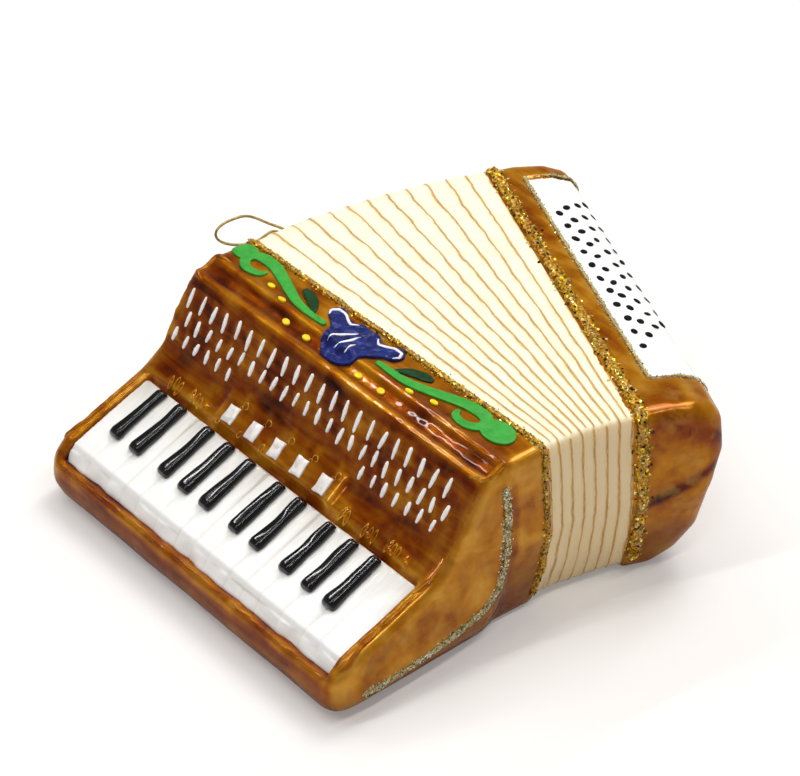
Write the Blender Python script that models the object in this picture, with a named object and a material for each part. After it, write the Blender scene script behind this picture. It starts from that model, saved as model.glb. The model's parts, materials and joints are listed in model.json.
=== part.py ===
"""Hanging glass ornament in the shape of a piano accordion, lying on its back.

The blown glass body is one hollow piece: a treble box with a moulded keyboard, a fan of bellows that is
part of a ring, and a bass box. Enamel, glitter and paint lie on it as thin pieces of their own. A crimped
metal cap with a wire loop closes the neck, which stands on the wide end of the bellows.
Lengths are in metres. X runs from the keyboard to the bass, Y along the keyboard and Z up.
"""

import math

import bmesh
import bpy
from mathutils import Matrix, Vector

# Glass body
DECK_HEIGHT = 0.0402
SEAM_HEIGHT = 0.0210
BOX_LENGTH = 0.0900
SEAM_BULGE = 0.0015
LOWER_TAPER = 0.0055
EDGE_RADIUS = 0.0018
GLASS_WALL = 0.0012
SILVER_COAT = 0.0004

# Treble box, depths measured back from the bellows joint
TREBLE_DEPTH = 0.0516
FRONT_CORNER_RADIUS = 0.0042
FRONT_FOOT_HEIGHT = 0.0042
FRONT_FOOT_DEPTH = 0.0066
RAIL_HEIGHT = 0.0096
RAIL_EDGE = 0.0006
CHEEK_RISE = 0.0006
CHEEK_NOSE = 0.0010
CHEEK_NOSE_RADIUS = 0.0014
CHEEK_WIDTH = 0.0022
STEP_RISE = 0.0012
GRILLE_FOOT_DEPTH = 0.0240
GRILLE_FOOT_RISE = 0.0045
GRILLE_TOP_DEPTH = 0.0163
GRILLE_TOP_DROP = 0.0022
DECK_DEPTH = 0.0086
RIDGE_RISE = 0.0008
RIDGE_WIDTH = 0.0014
RIDGE_RADIUS = 0.0008
GRILLE_EDGE_RADIUS = 0.0012
SHOULDER_DROP = 0.0014
SEAM_BEND_DEPTH = 0.0105
SEAM_STEP_DEPTH = 0.0175
SEAM_LOW_HEIGHT = 0.0100
SEAM_FRONT_LIFT = 0.0006
LEAST_STEP = 0.00012
WELD_DISTANCE = 0.00002

# Keyboard
KEY_LIP_DEPTH = 0.0496
KEY_FOLD_DEPTH = 0.0474
KEY_FOLD_HEIGHT = 0.0131
KEY_BACK_DEPTH = 0.0292
KEY_BACK_HEIGHT = 0.0205
KEY_COAT = 0.0006
KEY_GROOVE_WIDTH = 0.0006
KEY_GROOVE_DEPTH = 0.00025
BLACK_GROUPS = (2, 3, 2, 3)
BLACK_PITCH = 0.0067
BLACK_GROUP_STEP = 0.0094
FIRST_BLACK_Y = 0.0364
BLACK_LENGTH = 0.0120
BLACK_WIDTH = 0.0027
BLACK_HEIGHT = 0.0014
BLACK_BACK_MARGIN = 0.0003
COAT_CLEARANCE = 0.0003

# Registers, grille strokes and small beads moulded in the glass
TAB_COUNT = 5
TAB_PITCH = 0.0072
FIRST_TAB_Y = 0.0178
TAB_SIZE = 0.0035
TAB_THICKNESS = 0.0007
TAB_PLACE = 0.52
TAB_MARGIN = 0.0022
BLOCK_RISE = 0.0007
BLOCK_END_SLOPE = 0.0008
BEAD_RADIUS = 0.0008
STROKE_WIDTH = 0.0009
STROKE_RISE = 0.0004
STROKE_ROWS = ((22, 0.80, 0.0036), (24, 0.51, 0.0027), (24, 0.27, 0.0025))
STROKE_SPAN = 0.0830
STROKE_LEAN = 0.00045

# Bellows, a slice of a ring whose centre is where the two boxes' joint faces meet
FAN_ANGLE = math.radians(21.9)
FAN_RADIUS = 0.0948
FOLD_COUNT = 12
PLEAT_DEPTH = 0.0005
BELLOWS_FOOT = 0.0012
BELLOWS_COAT = 0.0004
BELLOWS_EDGE_RADIUS = 0.0016

# Bass box, widths measured out from the bellows joint
BASS_WIDTH = 0.0190
BASS_STRIP_WIDTH = 0.0072
BASS_SHOULDER_DROP = 0.0050
BASS_BELLY_HEIGHT = 0.0270
BASS_WALL_FOOT = 0.0190
BASS_WALL_DRAW = 0.0028
BASS_WALL_BOW = 0.0005
BASS_FOOT_WIDTH = 0.0040
BASS_EDGE_RADIUS = 0.0025
BASS_END_DRAW = 0.0018
BASS_END_REACH = 0.0050
PANEL_NEAR_MARGIN = 0.0104
PANEL_FAR_MARGIN = 0.0053
PANEL_COAT = 0.0006
BUTTON_COLUMNS = 4
BUTTON_ROWS = 11
BUTTON_RADIUS = 0.00062
BUTTON_RISE = 0.0002
BUTTON_PITCH = 0.0044
BUTTON_COLUMN_PITCH = 0.0027
BUTTON_LEAN = 0.0006
BUTTON_START = 0.0216
BUTTON_MARGIN = 0.0022

# Glitter lines
JOINT_GLITTER_WIDTH = 0.0013
JOINT_GLITTER_MARGIN = 0.0002
BASS_GLITTER_WIDTH = 0.0024
BORDER_GLITTER_WIDTH = 0.0009
CHEEK_GLITTER_WIDTH = 0.0013
CHEEK_LINE_TOP_DROP = 0.0045
CHEEK_LINE_TOP_DEPTH = 0.0104
CHEEK_LINE_BEND_DEPTH = 0.0126
CHEEK_LINE_BEND_HEIGHT = 0.0140
CHEEK_LINE_FRONT_MARGIN = 0.0066
CHEEK_LINE_FRONT_HEIGHT = 0.0055
GLITTER_RISE = 0.0006
GLITTER_FOOT = 0.0040

# Painted vine, leaves, flower and dots on the deck
PAINT_THICKNESS = 0.0003
BULB_LIFT = 0.00004
BULB_EXTRA = 0.00010
FLOWER_Y = 0.0037
DOT_RADIUS = 0.0009
DOT_STRETCH = 1.45

# Painted shapes as (x, distance from the flower's middle) with the brush's width at each point
VINE_PATH = (
    (-0.0078, 0.0080),
    (-0.0077, 0.0160),
    (-0.0052, 0.0235),
    (-0.0032, 0.0295),
    (-0.0034, 0.0345),
    (-0.0058, 0.0357),
    (-0.0077, 0.0332),
    (-0.0072, 0.0300),
    (-0.0056, 0.0293),
)
VINE_WIDTHS = (0.0009, 0.0016, 0.0021, 0.0024, 0.0023, 0.0020, 0.0017, 0.0013, 0.0006)
BULB_PATH = ((-0.0043, 0.0350), (-0.0046, 0.0372), (-0.0045, 0.0392), (-0.0043, 0.0410))
BULB_WIDTHS = (0.0014, 0.0026, 0.0040, 0.0022)
LEAF_PATH = ((-0.0070, 0.0125), (-0.0052, 0.0148), (-0.0040, 0.0176), (-0.0036, 0.0196))
LEAF_WIDTHS = (0.0004, 0.0019, 0.0021, 0.0008)
FLOWER_HALF = (
    (-0.0027, 0.0000),
    (-0.0025, 0.0024),
    (-0.0036, 0.0040),
    (-0.0030, 0.0062),
    (-0.0019, 0.0088),
    (-0.0032, 0.0106),
    (-0.0054, 0.0100),
    (-0.0062, 0.0080),
    (-0.0082, 0.0058),
    (-0.0112, 0.0048),
    (-0.0131, 0.0026),
    (-0.0137, 0.0000),
)
DOT_ARC = ((-0.0124, 0.0080), (-0.0122, 0.0146), (-0.0093, 0.0196), (-0.0077, 0.0250))

# Neck, cap and hanger
NECK_ANGLE = FAN_ANGLE / 3.0
NECK_RADIUS = 0.0045
NECK_WALL = 0.0010
NECK_LENGTH = 0.0070
CAP_CLEARANCE = 0.0003
CAP_SHEET = 0.0004
CAP_SKIRT = 0.0056
CAP_FLUTES = 16
CAP_FLUTE_STEPS = 3
CAP_FLUTE_DEPTH = 0.0003
CAP_HOLE_RADIUS = 0.0007
CAP_HOLE_SPACING = 0.0046
WIRE_RADIUS = 0.00035
LOOP_LENGTH = 0.0118
LOOP_WIDTH = 0.0088
LOOP_LEAN = 0.0084
LOOP_STAND = 0.0124
LOOP_RISE = 0.0052
LEG_DEPTH = 0.0150
LEG_SPREAD = 0.0070

# Gap kept between two pieces that touch on the real ornament
GAP = 0.0003

HALF_LENGTH = BOX_LENGTH / 2.0
NEAR_RADIUS = FAN_RADIUS - HALF_LENGTH
FAR_RADIUS = FAN_RADIUS + HALF_LENGTH
GRILLE_FOOT_HEIGHT = KEY_BACK_HEIGHT + GRILLE_FOOT_RISE
GRILLE_TOP_HEIGHT = DECK_HEIGHT - GRILLE_TOP_DROP

AMBER = (0.40, 0.13, 0.010)
CREAM = (0.93, 0.86, 0.62)
WHITE = (0.92, 0.91, 0.88)
BLACK = (0.010, 0.010, 0.011)
LEAF_GREEN = (0.045, 0.38, 0.045)
DARK_GREEN = (0.012, 0.10, 0.020)
BLUE = (0.018, 0.022, 0.26)
YELLOW = (0.93, 0.65, 0.02)
GOLD = (0.62, 0.40, 0.08)
PALE_GOLD = (0.60, 0.55, 0.32)
SILVER = (0.85, 0.85, 0.84)
BRASS = (0.62, 0.50, 0.24)


def clear_scene():
    for item in list(bpy.data.objects):
        bpy.data.objects.remove(item, do_unlink=True)


def material(name, colour, roughness, metallic=0.0):
    made = bpy.data.materials.new(name)
    made.use_nodes = True
    shader = made.node_tree.nodes["Principled BSDF"]
    shader.inputs["Base Color"].default_value = (*colour, 1.0)
    shader.inputs["Roughness"].default_value = roughness
    shader.inputs["Metallic"].default_value = metallic
    return made


def add_object(name, shape, parent, look=None, sharp_angle=35.0):
    """Turn a bmesh into an object with outward faces."""
    bmesh.ops.recalc_face_normals(shape, faces=shape.faces)
    bmesh.ops.triangulate(shape, faces=shape.faces)
    mesh = bpy.data.meshes.new(name)
    shape.to_mesh(mesh)
    shape.free()
    mesh.shade_smooth()
    mesh.set_sharp_from_angle(angle=math.radians(sharp_angle))
    made = bpy.data.objects.new(name, mesh)
    bpy.context.scene.collection.objects.link(made)
    made.parent = parent
    if look:
        mesh.materials.append(look)
    return made


def as_guide(helper):
    helper.hide_render = True
    helper.display_type = "WIRE"
    return helper


def boolean(target, helper, operation):
    step = target.modifiers.new(helper.name, "BOOLEAN")
    step.operation = operation
    step.solver = "EXACT"
    step.object = as_guide(helper)


def empty(name, parent, place):
    made = bpy.data.objects.new(name, None)
    bpy.context.scene.collection.objects.link(made)
    made.parent = parent
    made.matrix_local = place
    return made


def fillet(corners, closed=False):
    """Round each corner (x, z, radius) of an outline with three points of its arc."""
    points = []
    count = len(corners)
    for index, (x, z, radius) in enumerate(corners):
        here = Vector((x, z))
        if radius <= 0.0 or (not closed and index in (0, count - 1)):
            points.append(here)
            continue
        before = Vector(corners[index - 1][:2]) - here
        after = Vector(corners[(index + 1) % count][:2]) - here
        half_angle = before.angle(after) / 2.0
        tangent = min(radius / math.tan(half_angle), before.length * 0.45, after.length * 0.45)
        start = here + before.normalized() * tangent
        end = here + after.normalized() * tangent
        points += [start, start * 0.25 + here * 0.5 + end * 0.25, end]
    return points


def height_on(points, x):
    """Height of an outline, given from low x to high x, at one x."""
    for left, right in zip(points, points[1:]):
        if x <= right[0]:
            share = (x - left[0]) / (right[0] - left[0])
            return left[1] + max(share, 0.0) * (right[1] - left[1])
    return points[-1][1]


def offset_line(points, distance):
    """Move an open outline sideways, to the right of its direction, with mitred corners."""
    moved = []
    for index, point in enumerate(points):
        sides = []
        if index > 0:
            sides.append((point - points[index - 1]).normalized())
        if index < len(points) - 1:
            sides.append((points[index + 1] - point).normalized())
        normals = [Vector((side.y, -side.x)) for side in sides]
        mean = sum(normals, Vector((0.0, 0.0))).normalized()
        moved.append(point + mean * (distance / mean.dot(normals[0])))
    return moved


def round_over(distance, radius):
    """How far a rounded edge has fallen back at a distance in from the end."""
    if distance >= radius:
        return 0.0
    return radius - math.sqrt(radius**2 - (radius - distance) ** 2)


def end_stations(radius):
    """Distances in from an end that draw a rounded edge."""
    return [radius * (1.0 - math.sin(math.radians(angle))) for angle in (90.0, 55.0, 25.0, 0.0)]


def side_bulge(height, seam=SEAM_HEIGHT):
    """How far a side wall stands out past the top edge: most at the seam, least at the foot."""
    if height >= seam:
        return SEAM_BULGE * (DECK_HEIGHT - height) / (DECK_HEIGHT - seam)
    return SEAM_BULGE - LOWER_TAPER * ((seam - height) / seam) ** 1.5 * (0.6 + 0.4 * seam / SEAM_HEIGHT)


def mapped_box(us, vs, ws, place):
    """The skin of a box divided at us, vs and ws, with each point put where place says."""
    shape = bmesh.new()
    points = {}

    def at(i, j, k):
        if (i, j, k) not in points:
            points[i, j, k] = shape.verts.new(place(us[i], vs[j], ws[k]))
        return points[i, j, k]

    def patch(rows, columns, corner):
        for row in range(rows):
            for column in range(columns):
                steps = ((0, 0), (1, 0), (1, 1), (0, 1))
                shape.faces.new([at(*corner(row + a, column + b)) for a, b in steps])

    last_u, last_v, last_w = len(us) - 1, len(vs) - 1, len(ws) - 1
    for side in (0, last_w):
        patch(last_u, last_v, lambda a, b: (a, b, side))
    for side in (0, last_v):
        patch(last_u, last_w, lambda a, b: (a, side, b))
    for side in (0, last_u):
        patch(last_v, last_w, lambda a, b: (side, a, b))
    return shape


def loft(rings, closed=False):
    """Join rings of points with faces; an open loft is capped at both ends."""
    shape = bmesh.new()
    made = [[shape.verts.new(point) for point in ring] for ring in rings]
    pairs = list(zip(made, made[1:]))
    if closed:
        pairs.append((made[-1], made[0]))
    for low, high in pairs:
        for index in range(len(low)):
            follow = (index + 1) % len(low)
            shape.faces.new((low[index], low[follow], high[follow], high[index]))
    if not closed:
        shape.faces.new(made[0])
        shape.faces.new(made[-1])
    return shape


# Treble box


def keyboard_line():
    """The top of the white keys, from the lower lip over the fold to the back."""
    return [
        Vector((-KEY_LIP_DEPTH, RAIL_HEIGHT)),
        Vector((-KEY_FOLD_DEPTH, KEY_FOLD_HEIGHT)),
        Vector((-KEY_BACK_DEPTH, KEY_BACK_HEIGHT)),
    ]


def upper_line():
    """Corners of the treble box above the keys: step, grille, two ridges and deck."""
    shoulder = DECK_HEIGHT - SHOULDER_DROP
    outer_crest = DECK_DEPTH + RIDGE_WIDTH
    inner_crest = GRILLE_TOP_DEPTH - RIDGE_WIDTH
    return [
        (-KEY_BACK_DEPTH + COAT_CLEARANCE * 3.0, KEY_BACK_HEIGHT + STEP_RISE, RIDGE_RADIUS * 0.4),
        (-GRILLE_FOOT_DEPTH, GRILLE_FOOT_HEIGHT, GRILLE_EDGE_RADIUS),
        (-GRILLE_TOP_DEPTH, GRILLE_TOP_HEIGHT, GRILLE_EDGE_RADIUS),
        (-inner_crest, shoulder + RIDGE_RISE, RIDGE_RADIUS),
        (-inner_crest + RIDGE_WIDTH, shoulder, RIDGE_RADIUS),
        (-outer_crest - RIDGE_WIDTH, shoulder + RIDGE_RISE * 0.5, RIDGE_RADIUS),
        (-outer_crest, DECK_HEIGHT + RIDGE_RISE, RIDGE_RADIUS),
        (-DECK_DEPTH, DECK_HEIGHT, RIDGE_RADIUS),
        (0.0, DECK_HEIGHT, 0.0),
    ]


def recessed_line():
    """Top outline of the glass between the cheeks, where the white keys lie."""
    bed = offset_line(keyboard_line(), KEY_COAT + GAP)
    front = [
        (-TREBLE_DEPTH, RAIL_HEIGHT - RAIL_EDGE, 0.0),
        (-TREBLE_DEPTH + RAIL_EDGE, RAIL_HEIGHT + RAIL_EDGE * 0.2, RAIL_EDGE * 0.5),
        (-KEY_LIP_DEPTH - GAP, RAIL_HEIGHT, RAIL_EDGE * 0.5),
        (bed[0].x, bed[0].y, 0.0),
        (bed[1].x, bed[1].y, RAIL_EDGE),
        (bed[2].x, bed[2].y, 0.0),
    ]
    return fillet(front + upper_line())


def cheek_line():
    """Top outline of the glass at the two cheeks beside the keys."""
    lip, fold, back = offset_line(keyboard_line(), -CHEEK_RISE)
    front = [
        (-TREBLE_DEPTH, RAIL_HEIGHT - RAIL_EDGE, 0.0),
        (lip.x - CHEEK_NOSE, RAIL_HEIGHT + CHEEK_NOSE, CHEEK_NOSE_RADIUS * 0.5),
        (fold.x - CHEEK_RISE, fold.y, CHEEK_NOSE_RADIUS),
        (back.x, back.y, 0.0),
    ]
    return fillet(front + upper_line())


def seam_at(x):
    """Height of the widest line on the treble box's ends: it dips towards the front."""
    depth = -x
    if depth <= SEAM_BEND_DEPTH:
        return SEAM_HEIGHT
    if depth <= SEAM_STEP_DEPTH:
        share = (depth - SEAM_BEND_DEPTH) / (SEAM_STEP_DEPTH - SEAM_BEND_DEPTH)
        return SEAM_HEIGHT + (SEAM_LOW_HEIGHT - SEAM_HEIGHT) * math.sin(share * math.pi / 2.0)
    share = (depth - SEAM_STEP_DEPTH) / (TREBLE_DEPTH - SEAM_STEP_DEPTH)
    return SEAM_LOW_HEIGHT + (FRONT_FOOT_HEIGHT + SEAM_FRONT_LIFT - SEAM_LOW_HEIGHT) * share


def treble_base(x):
    """Underside of the treble box: flat, turning up at the front."""
    start = TREBLE_DEPTH - FRONT_FOOT_DEPTH
    if -x <= start:
        return 0.0
    share = min((-x - start) / FRONT_FOOT_DEPTH, 1.0)
    return FRONT_FOOT_HEIGHT * (1.0 - math.sqrt(max(1.0 - share**2, 0.0)))


def treble_y(x, y, height):
    """Spread a Y position in step with the bulge of the box's ends."""
    return y * (HALF_LENGTH + side_bulge(height, seam_at(x))) / (HALF_LENGTH + SEAM_BULGE)


def treble_form(inset=0.0):
    """The treble box, or its hollow when inset is more than nothing."""
    half = HALF_LENGTH + SEAM_BULGE
    recess = recessed_line()
    cheek = cheek_line()
    if inset:
        depths = [-TREBLE_DEPTH + inset, -KEY_FOLD_DEPTH, -KEY_BACK_DEPTH, -GRILLE_FOOT_DEPTH]
        us = depths + [-GRILLE_TOP_DEPTH, -DECK_DEPTH, -inset]
        ends = [inset, inset + EDGE_RADIUS]
        ws = [0.0, 0.5, 1.0]
    else:
        us = sorted({round(point[0], 6) for point in recess + cheek})
        us = [x for x, after in zip(us, us[1:] + [1.0]) if after - x > LEAST_STEP]
        edge = half - HALF_LENGTH + CHEEK_WIDTH
        ends = end_stations(EDGE_RADIUS) + [edge, edge + COAT_CLEARANCE, FRONT_CORNER_RADIUS]
        ws = [0.0, 0.25, 0.5, 0.75, 1.0]
    vs = [-half + end for end in sorted(ends)] + [half - end for end in sorted(ends, reverse=True)]
    cheek_edge = HALF_LENGTH - CHEEK_WIDTH

    def top(x, y):
        if inset:
            near = [height_on(recess, x + step * inset) for step in (-1.0, -0.5, 0.0, 0.5, 1.0)]
            return min(near) - inset
        return height_on(cheek if abs(y) > cheek_edge - COAT_CLEARANCE * 0.5 else recess, x)

    def place(x, y, level):
        end = half - abs(y)
        fall = round_over(end, EDGE_RADIUS) if not inset else 0.0
        high = top(x, y) - fall
        low = treble_base(x) + fall + inset
        middle = min(max(seam_at(x), low + 0.2 * (high - low)), low + 0.8 * (high - low))
        if level < 0.5:
            z = low + (middle - low) * level * 2.0
        else:
            z = middle + (high - middle) * (level * 2.0 - 1.0)
        back = round_over(end, FRONT_CORNER_RADIUS) * -x / TREBLE_DEPTH
        bow = GAP * math.sin(math.pi * level) if x <= us[0] else 0.0
        return Vector((x + max(back, 0.0) - bow, treble_y(x, y, z), z))

    return mapped_box(us, vs, ws, place)


# Bellows


def fan_point(angle, radius, height):
    return Vector((math.sin(angle) * radius, math.cos(angle) * radius - FAN_RADIUS, height))


def girth(inset, foot):
    """The outline round the bellows as (radius, height) points, moved in by inset."""
    right = [(HALF_LENGTH + side_bulge(z), z) for z in (foot, SEAM_HEIGHT / 2.0, SEAM_HEIGHT, DECK_HEIGHT)]
    corners = [(-across, z) for across, z in right[::-1]] + right
    vectors = [Vector(corner) for corner in corners]
    wrapped = vectors[-1:] + vectors + vectors[:1]
    moved = offset_line(wrapped, -inset)[1:-1]
    radii = (BELLOWS_EDGE_RADIUS, 0.0, 0.0, BELLOWS_EDGE_RADIUS * 1.6)
    radii += radii[::-1]
    return fillet([(point.x, point.y, radius) for point, radius in zip(moved, radii)], closed=True)


def fan_ring(angle, inset, foot):
    return [fan_point(angle, FAN_RADIUS + across, height) for across, height in girth(inset, foot)]


def pleat_rings(inset, start, end):
    """Rings of the bellows: each fold has a ridge in its middle and a valley at its edges."""
    rings = []
    stations = FOLD_COUNT * 2
    for station in range(stations + 1):
        angle = FAN_ANGLE * station / stations
        valley = PLEAT_DEPTH if station % 2 == 0 else 0.0
        angle = min(max(angle, start), end)
        rings.append(fan_ring(angle, inset + valley, BELLOWS_FOOT))
    return rings


def bellows_form():
    """The pleated glass under the cream coat."""
    overlap = FAN_ANGLE / FOLD_COUNT / 2.0
    inset = BELLOWS_COAT + GAP
    rings = pleat_rings(inset, 0.0, FAN_ANGLE)[1:-1]
    rings.insert(0, fan_ring(-overlap, inset + PLEAT_DEPTH * 2.0, BELLOWS_FOOT))
    rings.append(fan_ring(FAN_ANGLE + overlap, inset + PLEAT_DEPTH * 2.0, BELLOWS_FOOT))
    return loft(rings)


def bellows_hollow(inset):
    overlap = math.asin((inset + GLASS_WALL) / NEAR_RADIUS)
    depth = inset + BELLOWS_COAT + GAP + PLEAT_DEPTH
    steps = 6
    angles = [-overlap + (FAN_ANGLE + overlap * 2.0) * step / steps for step in range(steps + 1)]
    return loft([fan_ring(angle, depth, BELLOWS_FOOT) for angle in angles])


def bellows_coat():
    """The cream enamel: a sleeve over the pleats, open at both joints."""
    side = math.asin(GAP / NEAR_RADIUS)
    outer = pleat_rings(0.0, side, FAN_ANGLE - side)
    inner = pleat_rings(BELLOWS_COAT, side, FAN_ANGLE - side)
    return loft(outer + inner[::-1], closed=True)


# Bass box


def bass_point(out, radius, height):
    """A point out from the bass joint face, at a radius from the fan's centre."""
    base = fan_point(FAN_ANGLE, radius, height)
    return base + Vector((math.cos(FAN_ANGLE), -math.sin(FAN_ANGLE), 0.0)) * out


def bass_place(out, along, height):
    """A point on the bass box, its place along the box spread in step with the bulging ends."""
    spread = (HALF_LENGTH + side_bulge(height)) / (HALF_LENGTH + SEAM_BULGE)
    return bass_point(out, FAN_RADIUS + along * spread, height)


def bass_shoulder():
    """Top of the bass box from the strip's edge over the shoulder, as (out, height)."""
    span = BASS_WIDTH - BASS_STRIP_WIDTH
    return [
        Vector((BASS_STRIP_WIDTH, DECK_HEIGHT)),
        Vector((BASS_STRIP_WIDTH + span * 0.48, DECK_HEIGHT - BASS_SHOULDER_DROP * 0.14)),
        Vector((BASS_STRIP_WIDTH + span * 0.82, DECK_HEIGHT - BASS_SHOULDER_DROP * 0.50)),
        Vector((BASS_WIDTH - BASS_WALL_BOW, DECK_HEIGHT - BASS_SHOULDER_DROP)),
    ]


def bass_wall(height):
    """How far out the outer wall stands at a height: most at the belly, drawn in to the foot."""
    if height >= BASS_BELLY_HEIGHT:
        shoulder = DECK_HEIGHT - BASS_SHOULDER_DROP
        share = (height - BASS_BELLY_HEIGHT) / (shoulder - BASS_BELLY_HEIGHT)
        return BASS_WIDTH - BASS_WALL_BOW * min(share, 1.0) ** 2
    share = (BASS_BELLY_HEIGHT - height) / (BASS_BELLY_HEIGHT - BASS_WALL_FOOT)
    return BASS_WIDTH - BASS_WALL_DRAW * min(share, 1.0) ** 1.3


def bass_narrowing(end, fall):
    """Share of its width that the bass box keeps at a distance in from its end."""
    draw = BASS_END_DRAW * max(1.0 - end / BASS_END_REACH, 0.0) ** 2
    return 1.0 - (fall + draw) / BASS_WIDTH


def bass_base(out, inset):
    """Underside of the bass box: flat by the bellows, curving up to the wall's foot."""
    span = bass_wall(BASS_WALL_FOOT) - inset - BASS_FOOT_WIDTH
    share = min(max((out - BASS_FOOT_WIDTH) / span, 0.0), 1.0)
    return inset + (BASS_WALL_FOOT - inset) * (1.0 - math.sqrt(1.0 - share**2))


def bass_form(inset=0.0):
    """The bass box with the bed of its white panel, or its hollow."""
    half = HALF_LENGTH + SEAM_BULGE
    corner = BASS_EDGE_RADIUS
    bed = (PANEL_COAT + GAP, PANEL_COAT + GAP + inset)[bool(inset)]
    crown = bass_shoulder()
    sunk = offset_line(crown + [Vector((BASS_WIDTH, SEAM_HEIGHT))], bed)[:-1]
    near_edge = -HALF_LENGTH + PANEL_NEAR_MARGIN
    far_edge = HALF_LENGTH - PANEL_FAR_MARGIN
    ends = [inset, inset + corner] if inset else end_stations(corner)
    edges = [near_edge - COAT_CLEARANCE * 2.0, near_edge - COAT_CLEARANCE]
    edges += [far_edge + COAT_CLEARANCE, far_edge + COAT_CLEARANCE * 2.0]
    vs = [-half + end for end in ends] + ([] if inset else edges) + [half - end for end in ends[::-1]]
    strip_high = DECK_HEIGHT - (bed if inset else 0.0)
    strip = [Vector((inset, strip_high)), Vector((BASS_STRIP_WIDTH - COAT_CLEARANCE * 2.0, strip_high))]
    us = list(range(len(strip) + len(crown)))

    def in_panel(y):
        return inset > 0.0 or edges[0] + GAP * 0.5 < y < edges[-1] - GAP * 0.5

    def place(u, y, level):
        end = half - abs(y)
        fall = 0.0 if inset else round_over(end, corner)
        line = strip + (sunk if in_panel(y) else crown)
        out, high = line[u]
        high -= fall
        foot = out * (bass_wall(BASS_WALL_FOOT) - (bed if inset else 0.0)) / line[-1].x
        low = bass_base(foot, inset) + fall
        panel_foot = SEAM_HEIGHT + COAT_CLEARANCE
        z = (low, (low + SEAM_HEIGHT) / 2.0, SEAM_HEIGHT, panel_foot, (panel_foot + high) / 2.0, high)[level]
        if u == us[-1] and level < 5:
            sink = bed if in_panel(y) and (level > 2 or inset) else 0.0
            out = bass_wall(z) - sink
        else:
            out = foot + (out - foot) * (z - low) / (high - low)
        return bass_place(out * bass_narrowing(end, fall), y, z)

    return mapped_box(us, vs, list(range(6)), place)


def panel_line():
    """Section of the white bass panel: over the shoulder and down the wall to the seam."""
    shoulder = bass_shoulder()
    low = SEAM_HEIGHT + COAT_CLEARANCE * 2.0
    high = shoulder[-1].y
    wall = [Vector((bass_wall(z), z)) for z in (high + (low - high) * share for share in (0.33, 0.67, 1.0))]
    return shoulder + wall


def bass_panel():
    """White enamel on the bass side with its painted buttons standing a little proud."""
    line = panel_line()
    inner = offset_line(line, PANEL_COAT)
    section = line + inner[::-1]
    ends = (PANEL_NEAR_MARGIN - HALF_LENGTH, HALF_LENGTH - PANEL_FAR_MARGIN)
    return loft([[bass_place(out, along, z) for out, z in section] for along in ends])


def along_line(points, distance):
    """The point at a distance along an open outline and the outward normal there."""
    for left, right in zip(points, points[1:]):
        span = (right - left).length
        if distance <= span or right is points[-1]:
            side = (right - left).normalized()
            return left + side * distance, Vector((-side.y, side.x))
        distance -= span
    return None


def panel_buttons():
    """Rows of low round dots on the bass panel, all in one guide shape."""
    line = panel_line()
    shape = bmesh.new()
    for column in range(BUTTON_COLUMNS):
        for row in range(BUTTON_ROWS):
            spot, normal = along_line(line, BUTTON_MARGIN + column * BUTTON_COLUMN_PITCH)
            along = BUTTON_START - HALF_LENGTH + row * BUTTON_PITCH + column * BUTTON_LEAN
            centre = bass_place(spot.x, along, spot.y)
            tip = bass_place(spot.x + normal.x, along, spot.y + normal.y)
            upright = (tip - centre).to_track_quat("Z", "Y").to_matrix().to_4x4()
            height = BUTTON_RISE + PANEL_COAT * 0.5
            middle = Matrix.Translation((0.0, 0.0, BUTTON_RISE - height / 2.0))
            bmesh.ops.create_cone(
                shape,
                cap_ends=True,
                segments=7,
                radius1=BUTTON_RADIUS * 1.25,
                radius2=BUTTON_RADIUS,
                depth=height,
                matrix=Matrix.Translation(centre) @ upright @ middle,
            )
    return shape


# Keyboard, registers and grille


def key_boundaries():
    """Y positions of the black keys and of the plain joints between white keys."""
    blacks, plain = [], []
    y = FIRST_BLACK_Y
    for group in BLACK_GROUPS:
        for index in range(group):
            blacks.append(y - index * BLACK_PITCH)
        plain.append(blacks[-1] - BLACK_GROUP_STEP / 2.0)
        y = blacks[-1] - BLACK_GROUP_STEP
    return blacks, plain


def key_section(sink=0.0):
    """Closed section of the white enamel over the keys, its top lowered by sink."""
    line = keyboard_line()
    top = offset_line(line, sink)
    top[0] = line[0] + (top[0] - line[0]) * 0.5
    under = offset_line(line, KEY_COAT)
    under[-1].x = line[-1].x
    top[-1].x = line[-1].x
    return top + under[::-1]


def white_keys():
    """White enamel over the whole keyboard with a groove at every joint between keys."""
    blacks, plain = key_boundaries()
    edge = HALF_LENGTH - CHEEK_WIDTH + GAP - COAT_CLEARANCE * 2.0
    stations = [(-edge, 0.0), (edge, 0.0)]
    for y in blacks + plain:
        half = KEY_GROOVE_WIDTH / 2.0
        stations += [(y - half, 0.0), (y, KEY_GROOVE_DEPTH), (y + half, 0.0)]
    rings = []
    for y, sink in sorted(stations):
        rings.append([Vector((x, treble_y(x, y, z), z)) for x, z in key_section(sink)])
    return loft(rings)


def on_keys(depth, rise):
    """A point above the slope of the white keys, at a depth from the joint."""
    fold, back = keyboard_line()[1:]
    slope = (back - fold).normalized()
    share = (back.x + depth) / slope.x
    return back - slope * share + Vector((-slope.y, slope.x)) * rise


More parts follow.
